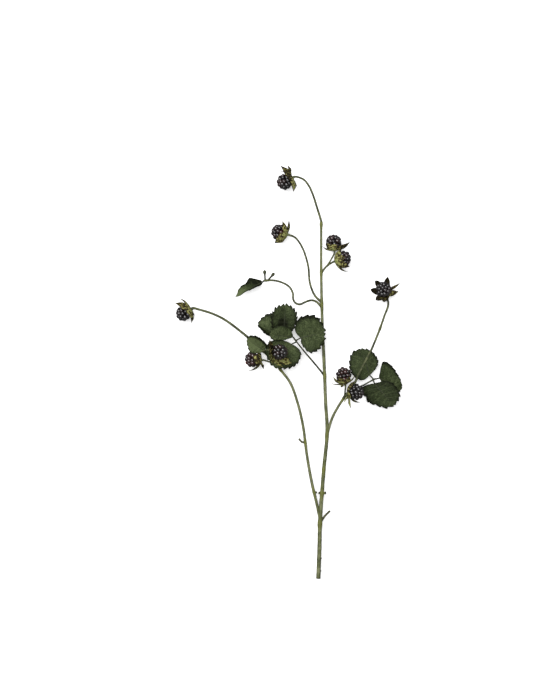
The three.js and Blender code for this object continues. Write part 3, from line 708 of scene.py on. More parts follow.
# Each leaf: the stalk it grows from and how far along that, where its own stalklet ends along and to the
# left of the leaf's way, that way, how it is tipped up and rolled, in degrees, the length of its midrib
# and the bends of its blade, and its left and right margins: points from the blade's base to its tip,
# along the midrib and to the left of it. Its teeth are counted along one margin, tooth is how tall they
# are, veined is how plainly its side veins show, and its tone is how light it is at its base and at its
# tip: its own green, with painted shade where one end is turned away from the light.
# Each shade darkens or lightens a patch, mostly painted shade and painted light where the blade folds,
# cups or lies under its neighbours: along, across, its reach both ways, and by how much.
LEAVES = {
    "centre_right_leaf": {
        "stalk": ("centre_leaf_stalk", 0.93),
        "stalklet": (6.8, 2.1),
        "place": dict(heading=13, pitch=8, roll=0),
        "blade": dict(length=30.7, fold=6, arch=28),
        "left": [
            (-0.9, 1.7), (-3.6, 5.3), (-4.8, 10.2), (-3.3, 16.1), (0.4, 21.5), (6.1, 24.7),
            (13.1, 25.3), (19.7, 23.6), (25, 19.7), (28.9, 13.2), (31.2, 6),
        ],
        "right": [
            (0.1, -1.8), (-1.1, -5.1), (0.2, -10), (2.2, -14.6), (4.8, -18.8), (8.8, -21.1),
            (15, -20.2), (20.1, -17.8), (24.1, -14.1), (27.4, -8.6),
        ],
        "margin": dict(teeth=8, tooth=2.2),
        "veined": 0.2,
        "tone_and_painted_shade": (0.56, 0.64),
        "shades": [(0.55, 0.95, 0.3, 0.1, -0.45), (0.06, -0.5, 0.12, 0.5, -0.35)],
    },
    "centre_tip_leaf": {
        "stalk": ("centre_leaf_stalk", 1),
        "stalklet": (1.5, -1.5),
        "place": dict(heading=178, pitch=17, roll=-16),
        "blade": dict(length=29.1, fold=5, arch=14),
        "left": [(1.7, 1.6), (5.7, 3), (10.7, 4.5), (16.7, 5.5), (22.7, 5.7), (26.9, 4)],
        "right": [
            (0.4, -2.7), (2.6, -7.4), (6.4, -11), (11.3, -12.9), (16.9, -13.1), (21.7, -11.9),
            (25.4, -8.9), (28.4, -5),
        ],
        "margin": dict(teeth=8, tooth=0.6),
        "veined": 0.1,
        "tone_and_painted_shade": (0.6, 0.72),
        "shades": [(0.5, 1, 0.5, 0.15, -0.3)],
    },
    "centre_left_leaf": {
        "stalk": ("centre_leaf_stalk", 0.9),
        "stalklet": (5.8, -4.1),
        "place": dict(heading=-118, pitch=-11, roll=7),
        "blade": dict(length=33.8, fold=6, arch=-24),
        "left": [
            (-0.5, 3.3), (0, 8.3), (1.8, 13.4), (5.2, 16.7), (10.9, 17.9), (18, 17.7), (23.7, 15.1),
            (27.9, 10.5), (31.2, 5.4),
        ],
        "right": [
            (-0.3, -1.9), (-0.3, -6.5), (0.9, -12.6), (3.9, -19), (8, -23.7), (13.8, -26.3),
            (20.7, -26), (25.8, -22.6), (29.9, -17.4), (33.4, -11.3), (35.1, -5.1),
        ],
        "margin": dict(teeth=8, tooth=1.7),
        "veined": 0.2,
        "tone_and_painted_shade": (0.7, 0.68),
        "shades": [
            (0.75, 0.9, 0.25, 0.2, -0.3),
            (0.4, -0.3, 0.2, 0.3, 0.15),
            (0.1, 0.6, 0.2, 0.4, -0.25),
        ],
    },
    "left_tip_leaf": {
        "stalk": ("left_leaf_stalk", 1),
        "stalklet": (10.8, -1.2),
        "place": dict(heading=88, pitch=13, roll=0),
        "blade": dict(length=31.5, fold=14, arch=20),
        "left": [
            (-0.9, 2.6), (-0.8, 8.3), (2.3, 13.5), (7.7, 16), (14.4, 16.2), (20.2, 15.2),
            (25.1, 12.8), (29.3, 8.3),
        ],
        "right": [
            (-0.8, -2.5), (-1.3, -7.7), (1, -11.5), (5.6, -13.4), (10.6, -15), (16.4, -15.5),
            (21.2, -14.8), (26, -12.4), (29.8, -8.1),
        ],
        "margin": dict(teeth=8, tooth=2.4),
        "veined": 0.12,
        "tone_and_painted_shade": (0.3, 0.62),
        # Painted shade: a dark heart in the cupped middle of the blade.
        "shades": [
            (0.36, 0.1, 0.2, 0.3, -1.6),
            (0.1, 0, 0.2, 1.2, -0.35),
            (0.85, 0.2, 0.12, 0.5, -0.2),
        ],
    },
    "left_upper_leaf": {
        "stalk": ("left_leaf_stalk", 0.97),
        "stalklet": (9.4, -1),
        "place": dict(heading=148, pitch=-1, roll=34),
        "blade": dict(length=25.6, fold=36, arch=5),
        "left": [(0.8, 9.3), (5.6, 16), (11.5, 14.8), (17, 11.1), (23, 6.7)],
        "right": [
            (-0.9, -4.1), (0.6, -11.4), (5.5, -17.7), (12.2, -20.5), (17.7, -20.2), (21.8, -17.6),
            (24.5, -12.4), (25.9, -6.7),
        ],
        "margin": dict(teeth=7, tooth=1.3),
        "veined": 0.3,
        "tone_and_painted_shade": (0.4, 0.6),
        # Painted shade along the lower left half, folded steeply away from the light, and painted light on
        # the inner band.
        "shades": [
            (0.65, 1.0, 0.45, 0.35, -1.5),
            (0.7, -0.5, 0.3, 0.3, 0.25),
            (0.3, -0.9, 0.3, 0.25, -0.4),
        ],
    },
    "left_side_leaf": {
        "stalk": ("left_leaf_stalk", 0.31),
        "stalklet": (17.8, -0.8),
        "place": dict(heading=147, pitch=14, roll=-10),
        "blade": dict(length=25, fold=22, arch=6),
        "left": [(1.1, 3.3), (4.7, 7.4), (9.1, 10.1), (14.2, 10.8), (19, 7.8), (23.5, 3.5)],
        "right": [
            (-0.3, -3.8), (2.3, -9.4), (8.4, -11.3), (14.3, -12.1), (19.2, -11.3), (23.7, -8.1),
            (26.5, -3.9),
        ],
        "margin": dict(teeth=6, tooth=0.8),
        "veined": 0.35,
        "tone_and_painted_shade": (0.85, 1.05),
        # Painted shade: a dark band along the upper right margin, where the blade folds away from the
        # light.
        "shades": [(0.5, -1.0, 0.5, 0.24, -1.6), (0.6, 0.4, 0.3, 0.4, 0.1)],
    },
    "right_upper_leaf": {
        "stalk": ("right_leaf_stalk", 0.975),
        "stalklet": (6.9, 3),
        "place": dict(heading=108, pitch=-6, roll=0),
        "blade": dict(length=34.2, fold=5, arch=4),
        "left": [
            (-1.9, 3), (-3.4, 6.7), (-3.3, 11.4), (-0.1, 16.1), (4.8, 19.3), (11.1, 20.9),
            (18.4, 20.4), (24.6, 18.1), (29.9, 14.9), (33.4, 10.6), (34.7, 5.4),
        ],
        "right": [
            (0.7, -2), (2.9, -6.5), (6.6, -11.4), (10.7, -14.6), (16.2, -15.6), (21.3, -14.6),
            (26.1, -12.4), (30.2, -9), (32.8, -4.5),
        ],
        "margin": dict(teeth=8, tooth=1.5),
        "veined": 0.2,
        "tone_and_painted_shade": (0.44, 0.6),
        "shades": [(0.9, 0.3, 0.14, 0.7, -0.3), (0.5, 0.1, 0.2, 0.3, 0.15)],
    },
    "right_tip_leaf": {
        "stalk": ("right_leaf_stalk", 1),
        "stalklet": (5.6, 3.4),
        "place": dict(heading=-21, pitch=-6, roll=14),
        "blade": dict(length=30.9, fold=6, arch=8),
        "left": [
            (-1.3, 1.4), (-2.6, 7.5), (-4.3, 14.9), (-4.5, 22.2), (1.1, 23), (9.1, 20.2),
            (17.3, 14.4), (24.6, 8.5),
        ],
        "right": [
            (4.4, -4.3), (7.4, -11.9), (12.8, -17.5), (19.5, -18.2), (24.8, -15.3), (29.1, -9.4),
            (31.4, -4.3),
        ],
        "margin": dict(teeth=8, tooth=0.9),
        "veined": 0.15,
        "tone_and_painted_shade": (0.3, 0.84),
        "shades": [(0.95, 0, 0.1, 0.8, -0.4), (0.6, 0.95, 0.4, 0.12, -0.4)],
    },
    "right_lower_leaf": {
        "stalk": ("right_leaf_stalk", 0.955),
        "stalklet": (4.7, -1.8),
        "place": dict(heading=-50, pitch=17.5, roll=10.5),
        "blade": dict(length=36.6, fold=-10, arch=20),
        "left": [
            (2.2, 4.4), (4.3, 9.3), (8.6, 13.7), (14.6, 16.7), (21.9, 17), (29.2, 15.8), (32.9, 13),
            (35.8, 6.7),
        ],
        "right": [
            (-2.9, -4), (-6.3, -10.1), (-8.4, -18.4), (-5.5, -22), (-0, -21.1), (3.8, -20),
            (8.7, -21.6), (14.6, -21.2), (19.4, -18.2), (24.2, -15.5), (29.5, -11.7), (34.3, -6.3),
        ],
        "margin": dict(teeth=8, tooth=1.9),
        "veined": 0.42,
        "tone_and_painted_shade": (0.26, 0.42),
        "shades": [(0.8, -0.5, 0.3, 0.4, 0.1), (0.1, 0.5, 0.15, 0.5, -0.3)],
    },
    "curly_twig_leaf": {
        "stalk": ("curly_twig", 1),
        "stalklet": (3.1, 1.2),
        "place": dict(heading=-155, pitch=0, roll=52),
        "blade": dict(length=38.2, fold=14, arch=8),
        "left": [(1.1, 5), (4.2, 7), (9.4, 6.5), (14.2, 4.5), (20, 3.8), (25.8, 3.4), (31.6, 3)],
        "right": [
            (-0.2, -2), (2.5, -6.8), (6.3, -11.2), (10.7, -14.3), (14.1, -14.8), (17.2, -11.9),
            (21.9, -11.4), (27.3, -9.2), (32.2, -5.6),
        ],
        "margin": dict(teeth=6, tooth=1),
        "veined": 0.2,
        # Painted shade: the base half is nearly black where the blade twists away from the light.
        "tone_and_painted_shade": (-0.9, 1.5),
        "shades": [(0.45, -0.9, 0.3, 0.25, -0.4)],
    },
}


def leaf_face(name, dark, middle, light, vein_shade, vein_share, relief):
    """The face of a leaf: three greens blended by its tone with its painted shade, speckled, with a net of
    fine veins over it.
    """
    material, tree, shader = new_material(name, roughness=0.6, gloss=0.07)
    place = object_place(tree)
    flat = flat_place(tree)
    tone_and_painted_shade = point_shade(tree, "tone_and_painted_shade")
    blotches = add_noise(tree, place, 170, 4, 0.6)
    speckles = add_noise(tree, place, 760, 3, 0.6)
    uneven = add_range(tree, add_sum(tree, speckles, 0.45, blotches), -0.4, 0.4, 0.475, 0.975)
    green = add_ramp(tree, add_sum(tree, tone_and_painted_shade, 1, uneven), [(0, dark), (0.5, middle), (1, light)])
    cells = {"Vector": flat, "Scale": 0.62, "Randomness": 0.9}
    net = add_node(tree, "ShaderNodeTexVoronoi", cells, feature="DISTANCE_TO_EDGE").outputs["Distance"]
    net_line = add_range(tree, net, 1, 0, 0, 0.16)
    netted = add_mix(tree, add_product(tree, net_line, vein_share * 0.15), green, vein_shade)
    veined = add_product(tree, point_shade(tree, "vein"), vein_share)
    base = add_mix(tree, veined, netted, vein_shade)
    tree.links.new(add_range(tree, blotches, 0.46, 0.7), shader.inputs["Roughness"])
    puckers = add_range(tree, net, 0, 1, 0, 0.3)
    pores = add_noise(tree, flat, 5, 2)
    dress(tree, shader, base, add_sum(tree, puckers, 0.4, pores), relief, 0.3)
    return material


leaf_above = leaf_face("leaf_above", (7, 10, 2), (44, 53, 30), (83, 93, 61), (97, 106, 73), 0.5, 0.7)
leaf_below = leaf_face(
    "leaf_below", (60, 69, 46), (82, 92, 66), (104, 112, 86), (116, 122, 90), 0.4, -0.4
)


def margin_rows(points, length, rows):
    """Where a margin is at every row of the blade, from base to tip, in millimetres."""
    places = [Vector((x, y, 0)) * MM for x, y in [(0, 0), *points, (length, 0)]]
    line = smooth_line(places, MARGIN_STEP)
    return [place_on(line, row / rows) / MM for row in range(rows + 1)]


def blade_place(edge, share, across, length, teeth_out):
    """A place on the flat blade in millimetres, its base at the origin and its tip along +x. share runs
    along the margin from base to tip, across from one margin (-1) over the midrib (0) to the other (1), and
    edge is where that margin is."""
    out = Vector((edge.x - length * TEETH_FROM, edge.y)).normalized() * teeth_out * abs(across) ** 6
    rib_x = length * share**RIB_SPACING
    return rib_x + abs(across) * (edge.x - rib_x) + out.x, abs(across) * edge.y + out.y


def tooth_height(share, across, margin, tall):
    """How far the margin stands out at a share of its length, and how far it is drawn on to the tip."""
    along = max(0, (share - TOOTHLESS) / (1 - TOOTHLESS)) * margin["teeth"]
    risen = along % 1
    size = margin["tooth"] * tall[int(along) + (margin["teeth"] + 1 if across > 0 else 0)]
    grown = min(1, along)
    profile = risen / TOOTH_PEAK if risen < TOOTH_PEAK else (1 - risen) / (1 - TOOTH_PEAK)
    stands_out = grown * (size * profile**0.8 - TOOTH_SET_BACK * margin["tooth"])
    return stands_out, TOOTH_FORWARD * size * grown * profile


def lay_flat(piece, flats):
    """Unwraps a piece, given where each of its points is on the flat."""
    for corner, loop in zip(piece.data.uv_layers["UVMap"].data, piece.data.loops):
        corner.uv = flats[loop.vertex_index]


def make_leaf(name, leaf, seed):
    """One leaf, made along +x from the foot of its stalklet, then put in place on its stalk."""
    chance = random.Random(seed)
    blade, margin = leaf["blade"], leaf["margin"]
    length = blade["length"]
    base_x, base_y = leaf["stalklet"]
    rows = margin["teeth"] * TOOTH_SAMPLES
    left_rows = margin_rows(leaf["left"], length, rows)
    right_rows = margin_rows(leaf["right"], length, rows)
    cells = dict(x_subdivisions=rows, y_subdivisions=2 * HALF_ACROSS, size=2)
    leaflet = begin(bpy.ops.mesh.primitive_grid_add, name + "_blade", **cells)
    fold = math.radians(blade["fold"])
    arch = math.radians(blade["arch"])
    tall = [chance.uniform(*TOOTH_SIZES) for _ in range(2 * margin["teeth"] + 2)]
    shift = chance.uniform(0, 100)
    wave = chance.uniform(0, 2 * math.pi)
    tones_and_painted_shades = []
    veins = []
    flats = []
    for vertex in leaflet.data.vertices:
        row = round((vertex.co.x + 1) / 2 * rows)
        share = row / rows
        across = vertex.co.y
        edge = right_rows[row] if across < 0 else left_rows[row]
        teeth_out, drawn_on = tooth_height(share, across, margin, tall)
        x, y = blade_place(edge, share, across, length, teeth_out)
        x += drawn_on * abs(across) ** 6
        flats.append((x, y))
        side_veins = margin["teeth"] * SIDE_VEINS
        phase = (share - FIRST_VEIN) * side_veins
        off_vein = abs(phase - round(phase)) / side_veins * length * (0.6 + 0.8 * abs(across))
        side_vein = hump(off_vein, VEIN_WIDTH) * (1 - 0.75 * abs(across) ** 2)
        side_vein *= 1 if 0.03 < share < 0.97 else 0
        midrib = hump(y, 0.7 - 0.5 * share)
        drawn = max(0.7 * side_vein, midrib)
        between_veins = abs(math.sin(math.pi * phase)) ** 0.8
        pucker = PUCKER * between_veins * min(1, abs(y) / 5) * (1 - abs(across) ** 3)
        uneven_at = Vector((x * UNEVEN_WAVE, y * UNEVEN_WAVE, shift))
        uneven = noise.noise(uneven_at) * UNEVEN * abs(across)
        rippled = math.sin(share * RUFFLE_WAVE + wave + (2 if across > 0 else 0))
        ruffle = RUFFLE * abs(across) ** 3 * rippled
        z = pucker - VEIN_DEPTH * drawn + uneven + ruffle
        lift = (math.hypot(y, FOLD_ROUNDING) - FOLD_ROUNDING) * math.sin(fold) + z
        turned = arch * max(0, x) / length
        bent_x = length / arch * math.sin(turned) + min(0, x) + lift * math.sin(turned)
        bent_z = lift * math.cos(turned) - length / arch * (1 - math.cos(turned))
        vertex.co = Vector((base_x + bent_x, base_y + y * math.cos(fold), bent_z)) * MM
        # Its tone from base to tip, plus its shades: painted shade and painted light on folds, cups and
        # overlaps.
        light = leaf["tone_and_painted_shade"][0] + (leaf["tone_and_painted_shade"][1] - leaf["tone_and_painted_shade"][0]) * share
        for along, sideways, reach_along, reach_across, change in leaf["shades"]:
            near = ((share - along) / reach_along) ** 2 + ((across - sideways) / reach_across) ** 2
            light += change * math.exp(-near)
        light -= MARGIN_DARKER * abs(across) ** 10 * min(1, margin["tooth"])
        tones_and_painted_shades.append(light)
        veins.append(leaf["veined"] * max(side_vein, 0.4 * midrib))
    shade_points(leaflet, "tone_and_painted_shade", tones_and_painted_shades)
    shade_points(leaflet, "vein", veins)
    lay_flat(leaflet, flats)
    for material in (leaf_above, leaf_below, leaf_stalk_bark):
        leaflet.data.materials.append(material)
    edit_all(leaflet)
    bpy.ops.mesh.remove_doubles(threshold=0.01 * MM)
    bpy.ops.object.mode_set(mode="OBJECT")
    if sum(face.normal.z for face in leaflet.data.polygons) < 0:
        leaflet.data.flip_normals()
    wall = leaflet.modifiers.new("wall", "SOLIDIFY")
    wall.thickness = LEAF_THICKNESS
    wall.offset = -1
    wall.material_offset = 1
    bpy.ops.object.modifier_apply(modifier="wall")
    bpy.ops.object.shade_smooth()
    bend = Vector((base_x * STALKLET_BEND, base_y * STALKLET_BEND, STALKLET_SAG)) * MM
    rib_places = [Vector((0, 0, 0)), bend]
    for share in RIB_SHARES:
        turned = arch * share
        bent_x = length / arch * math.sin(turned)
        bent_z = -length / arch * (1 - math.cos(turned)) - RIB_BELOW
        rib_places.append(Vector((base_x + bent_x, base_y, bent_z)) * MM)
    rib_line = smooth_line(rib_places, RIB_STEP)
    rib = sweep_stem(name + "_rib", rib_line, RIB_RADII, leaf_stalk_bark, root=0.3)
    finished = join_all(leaflet, [rib])
    stem_below, share = leaf["stalk"]
    turn = Euler([math.radians(leaf["place"][way]) for way in ("roll", "pitch", "heading")])
    turn.y = -turn.y
    foot = Matrix.Translation(place_on(lines[stem_below], share))
    finished.data.transform(foot @ turn.to_matrix().to_4x4())
    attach(finished, "root")
    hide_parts(name)


for seed, (name, leaf) in enumerate(LEAVES.items()):
    make_leaf(name, leaf, seed)

# ---- Berries ----
# Ripe bramble berries, each a cluster of a few dozen juicy drupelets packed in rings round a core. Their
# skins are nearly black and glossy, dull and darkened with painted shade in the creases between them, and
# some berries still have wine-red drupelets.
BERRY_RADIUS = 10 * MM
CORE_RADIUS = 6.8 * MM
CORE_SEAT = 10.2 * MM  # from the middle of a berry to the end of its core, which sits in the calyx's cup
CORE_NECK = 0.9  # the share of the core's radius beyond which its back is drawn out to that end
DRUPELET_RADIUS = 2.9 * MM
DRUPELET_SEGMENTS = 12
DRUPELET_RINGS = 8
DRUPELET_FOOT = 0.5  # from its middle to where it is cut flat, over its radius
DRUPELET_TALL = 1.2
DRUPELET_SIZES = (0.86, 1.12)
DRUPELET_LONG = (-0.08, 0.12)  # how much more than round it is, the one way
DRUPELET_WIDE = (-0.08, 0.08)  # and the other
DRUPELET_SUNK = (0.98, 1.2)  # from its middle in from the berry's outside, over its radius
SKIN_SPREADS = 1.35  # above 1, the painted shade of the crease ends lower down on a drupelet
CORE_SEGMENTS = 16
CORE_RINGS = 10
PACKING = 34  # degrees from one drupelet to the next
FIRST_RING = 0.95  # of that, from the drupelet on the tip to the first ring
ASTRAY_ROUND = 0.16  # how far a drupelet is from its place, as a share of the gap to the next in its ring
ASTRAY_DOWN = 3.5  # and in degrees from the ring
LONG_TIP = 0.06  # how much longer than round the berry is at its tip
LAST_RING = 150  # degrees from the tip of the berry, hidden in the calyx
# How ripe each berry's drupelets are, from wine-red (0) to black (1), and how much they differ.
RIPENESS = {
    "tip": (0.75, 0.2),
    "upper_left": (0.7, 0.22),
    "pair_upper": (0.75, 0.2),
    "pair_lower": (0.72, 0.2),
    "right": (0.8, 0.18),
    "far_left": (0.8, 0.18),
    "low_left": (0.45, 0.25),
    "cluster": (0.7, 0.2),
    "upper_right": (0.4, 0.28),
    "lower_right": (0.85, 0.15),
}

berry_skin, skin_tree, skin_shader = new_material("berry_skin", roughness=0.28, gloss=0.9)
skin_place = object_place(skin_tree)
outermost = point_shade(skin_tree, "outermost")
skin_stops = [(0, (78, 26, 20)), (0.35, (44, 20, 18)), (0.7, (24, 17, 17)), (1, (15, 13, 14))]
skin_colour = add_ramp(skin_tree, point_shade(skin_tree, "ripeness"), skin_stops)
bloom = add_noise(skin_tree, skin_place, 420, 4, 0.65)
bloom_share = add_product(skin_tree, add_range(skin_tree, bloom, 0, 0.1, 0.5, 0.8), outermost)
bloomed = add_mix(skin_tree, bloom_share, skin_colour, (128, 116, 116))
# Painted shade: each drupelet darkens to near black towards its foot, in the creases between them.
skin_with_painted_crease_shade = add_mix(skin_tree, outermost, (8, 6, 6), bloomed)
skin_shine = add_range(skin_tree, outermost, 0.15, 0.95)
skin_tree.links.new(skin_shine, skin_shader.inputs["Specular IOR Level"])
skin_tree.links.new(add_range(skin_tree, bloom, 0.14, 0.32), skin_shader.inputs["Roughness"])
dress(skin_tree, skin_shader, skin_with_painted_crease_shade, add_noise(skin_tree, skin_place, 1500, 2), 0.15, 0.2)

drupelet_sizes = dict(segments=DRUPELET_SEGMENTS, ring_count=DRUPELET_RINGS, radius=DRUPELET_RADIUS)
drupelet = begin(bpy.ops.mesh.primitive_uv_sphere_add, "drupelet", **drupelet_sizes)
edit_all(drupelet)
bpy.ops.mesh.bisect(
    plane_co=(0, 0, -DRUPELET_FOOT * DRUPELET_RADIUS), plane_no=(0, 0, 1), use_fill=True, clear_inner=True
)
bpy.ops.mesh.select_all(action="SELECT")
bpy.ops.transform.resize(value=(1, 1, DRUPELET_TALL))
bpy.ops.object.mode_set(mode="OBJECT")
bpy.ops.object.shade_smooth()
heights = [vertex.co.z for vertex in drupelet.data.vertices]
skin_shares = [min(1, max(0, z / max(heights) * SKIN_SPREADS)) for z in heights]
shade_points(drupelet, "outermost", skin_shares)

rings = [0] + [PACKING * (i + FIRST_RING) for i in range(int(LAST_RING / PACKING))]
for seed, (name, way) in enumerate(berry_ways.items()):
    chance = random.Random(100 + seed)
    mean_ripeness, difference = RIPENESS[name]
    core_sizes = dict(segments=CORE_SEGMENTS, ring_count=CORE_RINGS, radius=CORE_RADIUS)
    berry = begin(bpy.ops.mesh.primitive_uv_sphere_add, name + "_drupelets", **core_sizes)
    bpy.ops.object.shade_smooth()
    for vertex in berry.data.vertices:
        if vertex.co.z < -CORE_NECK * CORE_RADIUS:
            vertex.co.z = -CORE_SEAT
    shade_points(berry, "ripeness", [1] * len(berry.data.vertices))
    shade_points(berry, "outermost", [0] * len(berry.data.vertices))
    drupelets = []
    for ring, down in enumerate(rings):
        count = max(1, round(360 * math.sin(math.radians(down)) / PACKING))
        for i in range(count):
            in_ring = i + 0.5 * ring + chance.uniform(-ASTRAY_ROUND, ASTRAY_ROUND)
            round_by = 2 * math.pi * in_ring / count
            down_by = math.radians(down + chance.uniform(-ASTRAY_DOWN, ASTRAY_DOWN))
            size = chance.uniform(*DRUPELET_SIZES)
            stretch = (1 + chance.uniform(*DRUPELET_LONG), 1 + chance.uniform(*DRUPELET_WIDE), 1)
            out = BERRY_RADIUS - DRUPELET_RADIUS * chance.uniform(*DRUPELET_SUNK)
            out *= 1 + LONG_TIP * max(0, math.cos(down_by))
            facing = Euler((0, down_by, round_by)).to_matrix().to_4x4()
            place = facing @ Matrix.Translation((0, 0, out))
            copy = drupelet.copy()
            copy.data = drupelet.data.copy()
            bpy.context.collection.objects.link(copy)
            copy.data.transform(place @ Matrix.Diagonal((*(size * s for s in stretch), 1)))
            ripe = min(1, max(0, chance.gauss(mean_ripeness, difference)))
            shade_points(copy, "ripeness", [ripe] * len(heights))
            drupelets.append(copy)
    join_all(berry, drupelets)
    upright = way.to_track_quat("Z", "Y").to_matrix().to_4x4()
    berry.data.transform(Matrix.Translation(berry_middles[name]) @ upright)
    berry.data.materials.append(berry_skin)
    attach(berry, "root")
    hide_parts(name + "_berry")
bpy.data.objects.remove(drupelet)

# ---- Calyxes ----
# Five sepals, more on three of the berries, that grow from a small cup on the end of the stalk and hold
# the berry. They are yellow-green, downy and finely ribbed, dry and brown on the older berries, and taper
# to bent tips.
SEPAL_ROWS = 16
SEPAL_HALF_ACROSS = 3
SEPAL_THICKNESS = 0.34 * MM
SEPAL_OFF = 10.75  # from the middle of the berry to the middle of a sepal that clings to it
SEPAL_LAYER = 0.22  # how much further out each sepal lies than the one before it
FLATTER = 8  # a sepal lies flat across where it stands off the berry by this much
CUP_RADIUS = 3.4 * MM
CUP_SEGMENTS = 20
CUP_RINGS = 10
CUP_DEPTH = 0.42  # as a share of its width
CUP_RISE = 0.2 * MM
CUP_AGE = 0.1
KEEL = 0.28  # how high the keel stands at a sepal's root
KEEL_WIDTH = 0.5
SEPAL_WAVY = 0.4  # how far its margins wave, at its tip
SEPAL_TIP = 0.12  # half the width of its tip
SEPAL_NECK = 0.9  # how much more than that half the width of its root is, at least
SEPAL_SPAN = 20  # its length where it is laid flat
MARGIN_OLDER = 0.4  # how much browner a sepal is along its margins

# Each calyx: its sepals, innermost first. For each, where its tip is (across, along, and up from the
# berry's middle), its greatest width, where its root is in degrees round the berry from the uppermost
# side to the right of the way the berry faces, and its age at the root and at the tip, from green (0) to
# brown (1).
CALYXES = {
    "tip": [
        ((-26.5, 490, 0), 8, 245, 0.25, 0.6),
        ((-53.8, 506.8, 1), 7, 110, 0.5, 0.9),
        ((-38.5, 517, 9), 13, 48, 0.3, 0.7),
        ((-47.5, 515.5, 13), 14, 8, 0.4, 0.8),
        ((-31.5, 484.5, 8.5), 12, 318, -0.1, 0.4),
    ],
    "upper_left": [
        ((-42, 440, -10), 8, 160, 0.4, 0.4),
        ((-52, 427, -9), 9, 235, 0.4, 0.6),
        ((-37.2, 449.8, 5), 9, 78, 0.2, 0.6),
        ((-45.5, 447, 8), 9, 28, 0.0, 0.7),
        ((-54.5, 421.2, 5), 15, 328, -0.15, 0.6),
    ],
    "pair_upper": [
        ((21, 414, -10.2), 8, 150, 0.3, 0.7),
        ((5.6, 416.2, 4), 7, 260, 0.1, 0.5),
        ((39, 422.8, 4), 10, 62, 0.4, 0.85),
        ((11.5, 420.5, 8), 12, 305, 0.05, 0.7),
        ((21, 419.5, 10.8), 14, 352, -0.15, 0.6),
    ],
    "pair_lower": [
        ((25, 400, -10.8), 8, 190, 0.4, 0.6),
        ((29, 412.3, 4), 12, 298, -0.1, 0.4),
        ((36.8, 385.3, 2), 8, 95, 0.1, 0.6),
        ((38.5, 392, 6), 12, 48, -0.15, 0.7),
        ((32.5, 402.5, 10.8), 13, 350, -0.15, 0.4),
    ],
    "right": [
        ((81.5, 346.8, 1), 11, 334, 0.6, 0.8),
        ((99.6, 360.3, 2), 9, 25, 0.2, 0.6),
        ((101.5, 371, 3), 4, 77, 0.5, 0.7),
        ((86, 377.6, 2), 8, 128, 0.9, 0.75),
        ((71.5, 373, 0), 8, 180, 0.95, 0.95),
        ((66.2, 362.7, 1), 9, 231, 1.0, 1.0),
        ((72, 350, 0), 9, 283, 0.9, 0.95),
    ],
    "far_left": [
        ((-155.4, 329.3, -3), 7, 225, 0.4, 0.6),
        ((-158.6, 321, 4), 11, 290, 0.15, 0.6),
        ((-174, 351, 6), 8, 78, 0.2, 0.5),
        ((-178.6, 344.5, 7.5), 12, 34, 0.3, 0.65),
        ((-164.5, 334, 10.8), 11, 330, 0.0, 0.4),
    ],
    "low_left": [
        ((-76, 275, -10.4), 9, 150, 0.5, 0.7),
        ((-88, 262, 3), 11, 262, 0.3, 0.45),
        ((-68.6, 263.4, 5), 10, 308, 0.25, 0.4),
        ((-76, 286.3, 3), 12, 58, 0.35, 0.6),
        ((-81, 279, 10.8), 14, 358, 0.4, 0.6),
    ],
    "cluster": [
        ((-40, 290, -8), 6, 230, 0.4, 0.5),
        ((-33.5, 271, 4), 12, 165, 0.0, 0.15),
        ((-45, 266.5, 0), 13, 110, 0.0, 0.15),
        ((-54.5, 268.5, 6), 13, 55, 0.1, 0.25),
        ((-60, 298.5, 7), 9, 320, 0.45, 0.6),
        ((-58.5, 285, 11), 13, 355, 0.5, 0.65),
    ],
    "upper_right": [
        ((28, 240.2, 0), 7, 350, -0.05, 0.1),
        ((44.6, 254.6, 4), 9, 68, 0.15, 0.45),
        ((38.5, 254, 8.5), 10, 25, 0.15, 0.6),
        ((18.6, 253.6, 5), 9, 300, 0.1, 0.45),
        ((16.8, 246, 5), 9, 285, 0.05, 0.35),
        ((25.5, 255, 9.5), 12, 325, 0.3, 0.7),
    ],
    "lower_right": [
        ((51.5, 221.8, -3), 8, 150, 0.4, 0.7),
        ((40, 214.6, 5), 12, 52, -0.05, 0.15),
        ((31.8, 222.3, 5), 11, 20, -0.05, 0.1),
        ((45.5, 247.6, 5), 10, 302, 0.4, 0.85),
        ((40.5, 230.5, 10.3), 10, 5, -0.05, 0.4),
    ],
}

calyx_down, down_tree, down_shader = new_material("calyx_down", roughness=0.75, gloss=0.25)
down_place = object_place(down_tree)
patches = add_noise(down_tree, down_place, 380, 4, 0.65)
slower_ends = {0: point_shade(down_tree, "age"), 1: 0.62, 2: -1.24}
slower = add_node(down_tree, "ShaderNodeMath", slower_ends, operation="MULTIPLY_ADD").outputs[0]
down_stops = [
    (0, (88, 106, 40)),
    (0.26, (198, 202, 132)),
    (0.48, (144, 138, 72)),
    (0.62, (78, 62, 28)),
    (0.78, (24, 18, 8)),
]
down_colour = add_ramp(down_tree, add_sum(down_tree, slower, 3.2, patches), down_stops)
rib_bands = {"Vector": flat_place(down_tree), "Scale": 0.4, "Distortion": 3, "Detail": 3}
ribs = add_node(down_tree, "ShaderNodeTexWave", rib_bands, bands_direction="Y").outputs["Fac"]
ribbed = add_mix(down_tree, add_product(down_tree, ribs, 0.55), down_colour, (46, 44, 14))
fluff = add_noise(down_tree, down_place, 2200, 2)
dress(down_tree, down_shader, ribbed, add_sum(down_tree, ribs, 0.8, fluff), 0.5, 0.2)


def berry_directions(name):
    """The way a berry faces, the side of it to the left of that, and the way to its uppermost side."""
    way = berry_ways[name]
    side = Vector((0, 0, 1)).cross(way).normalized()
    return way, side, way.cross(side)


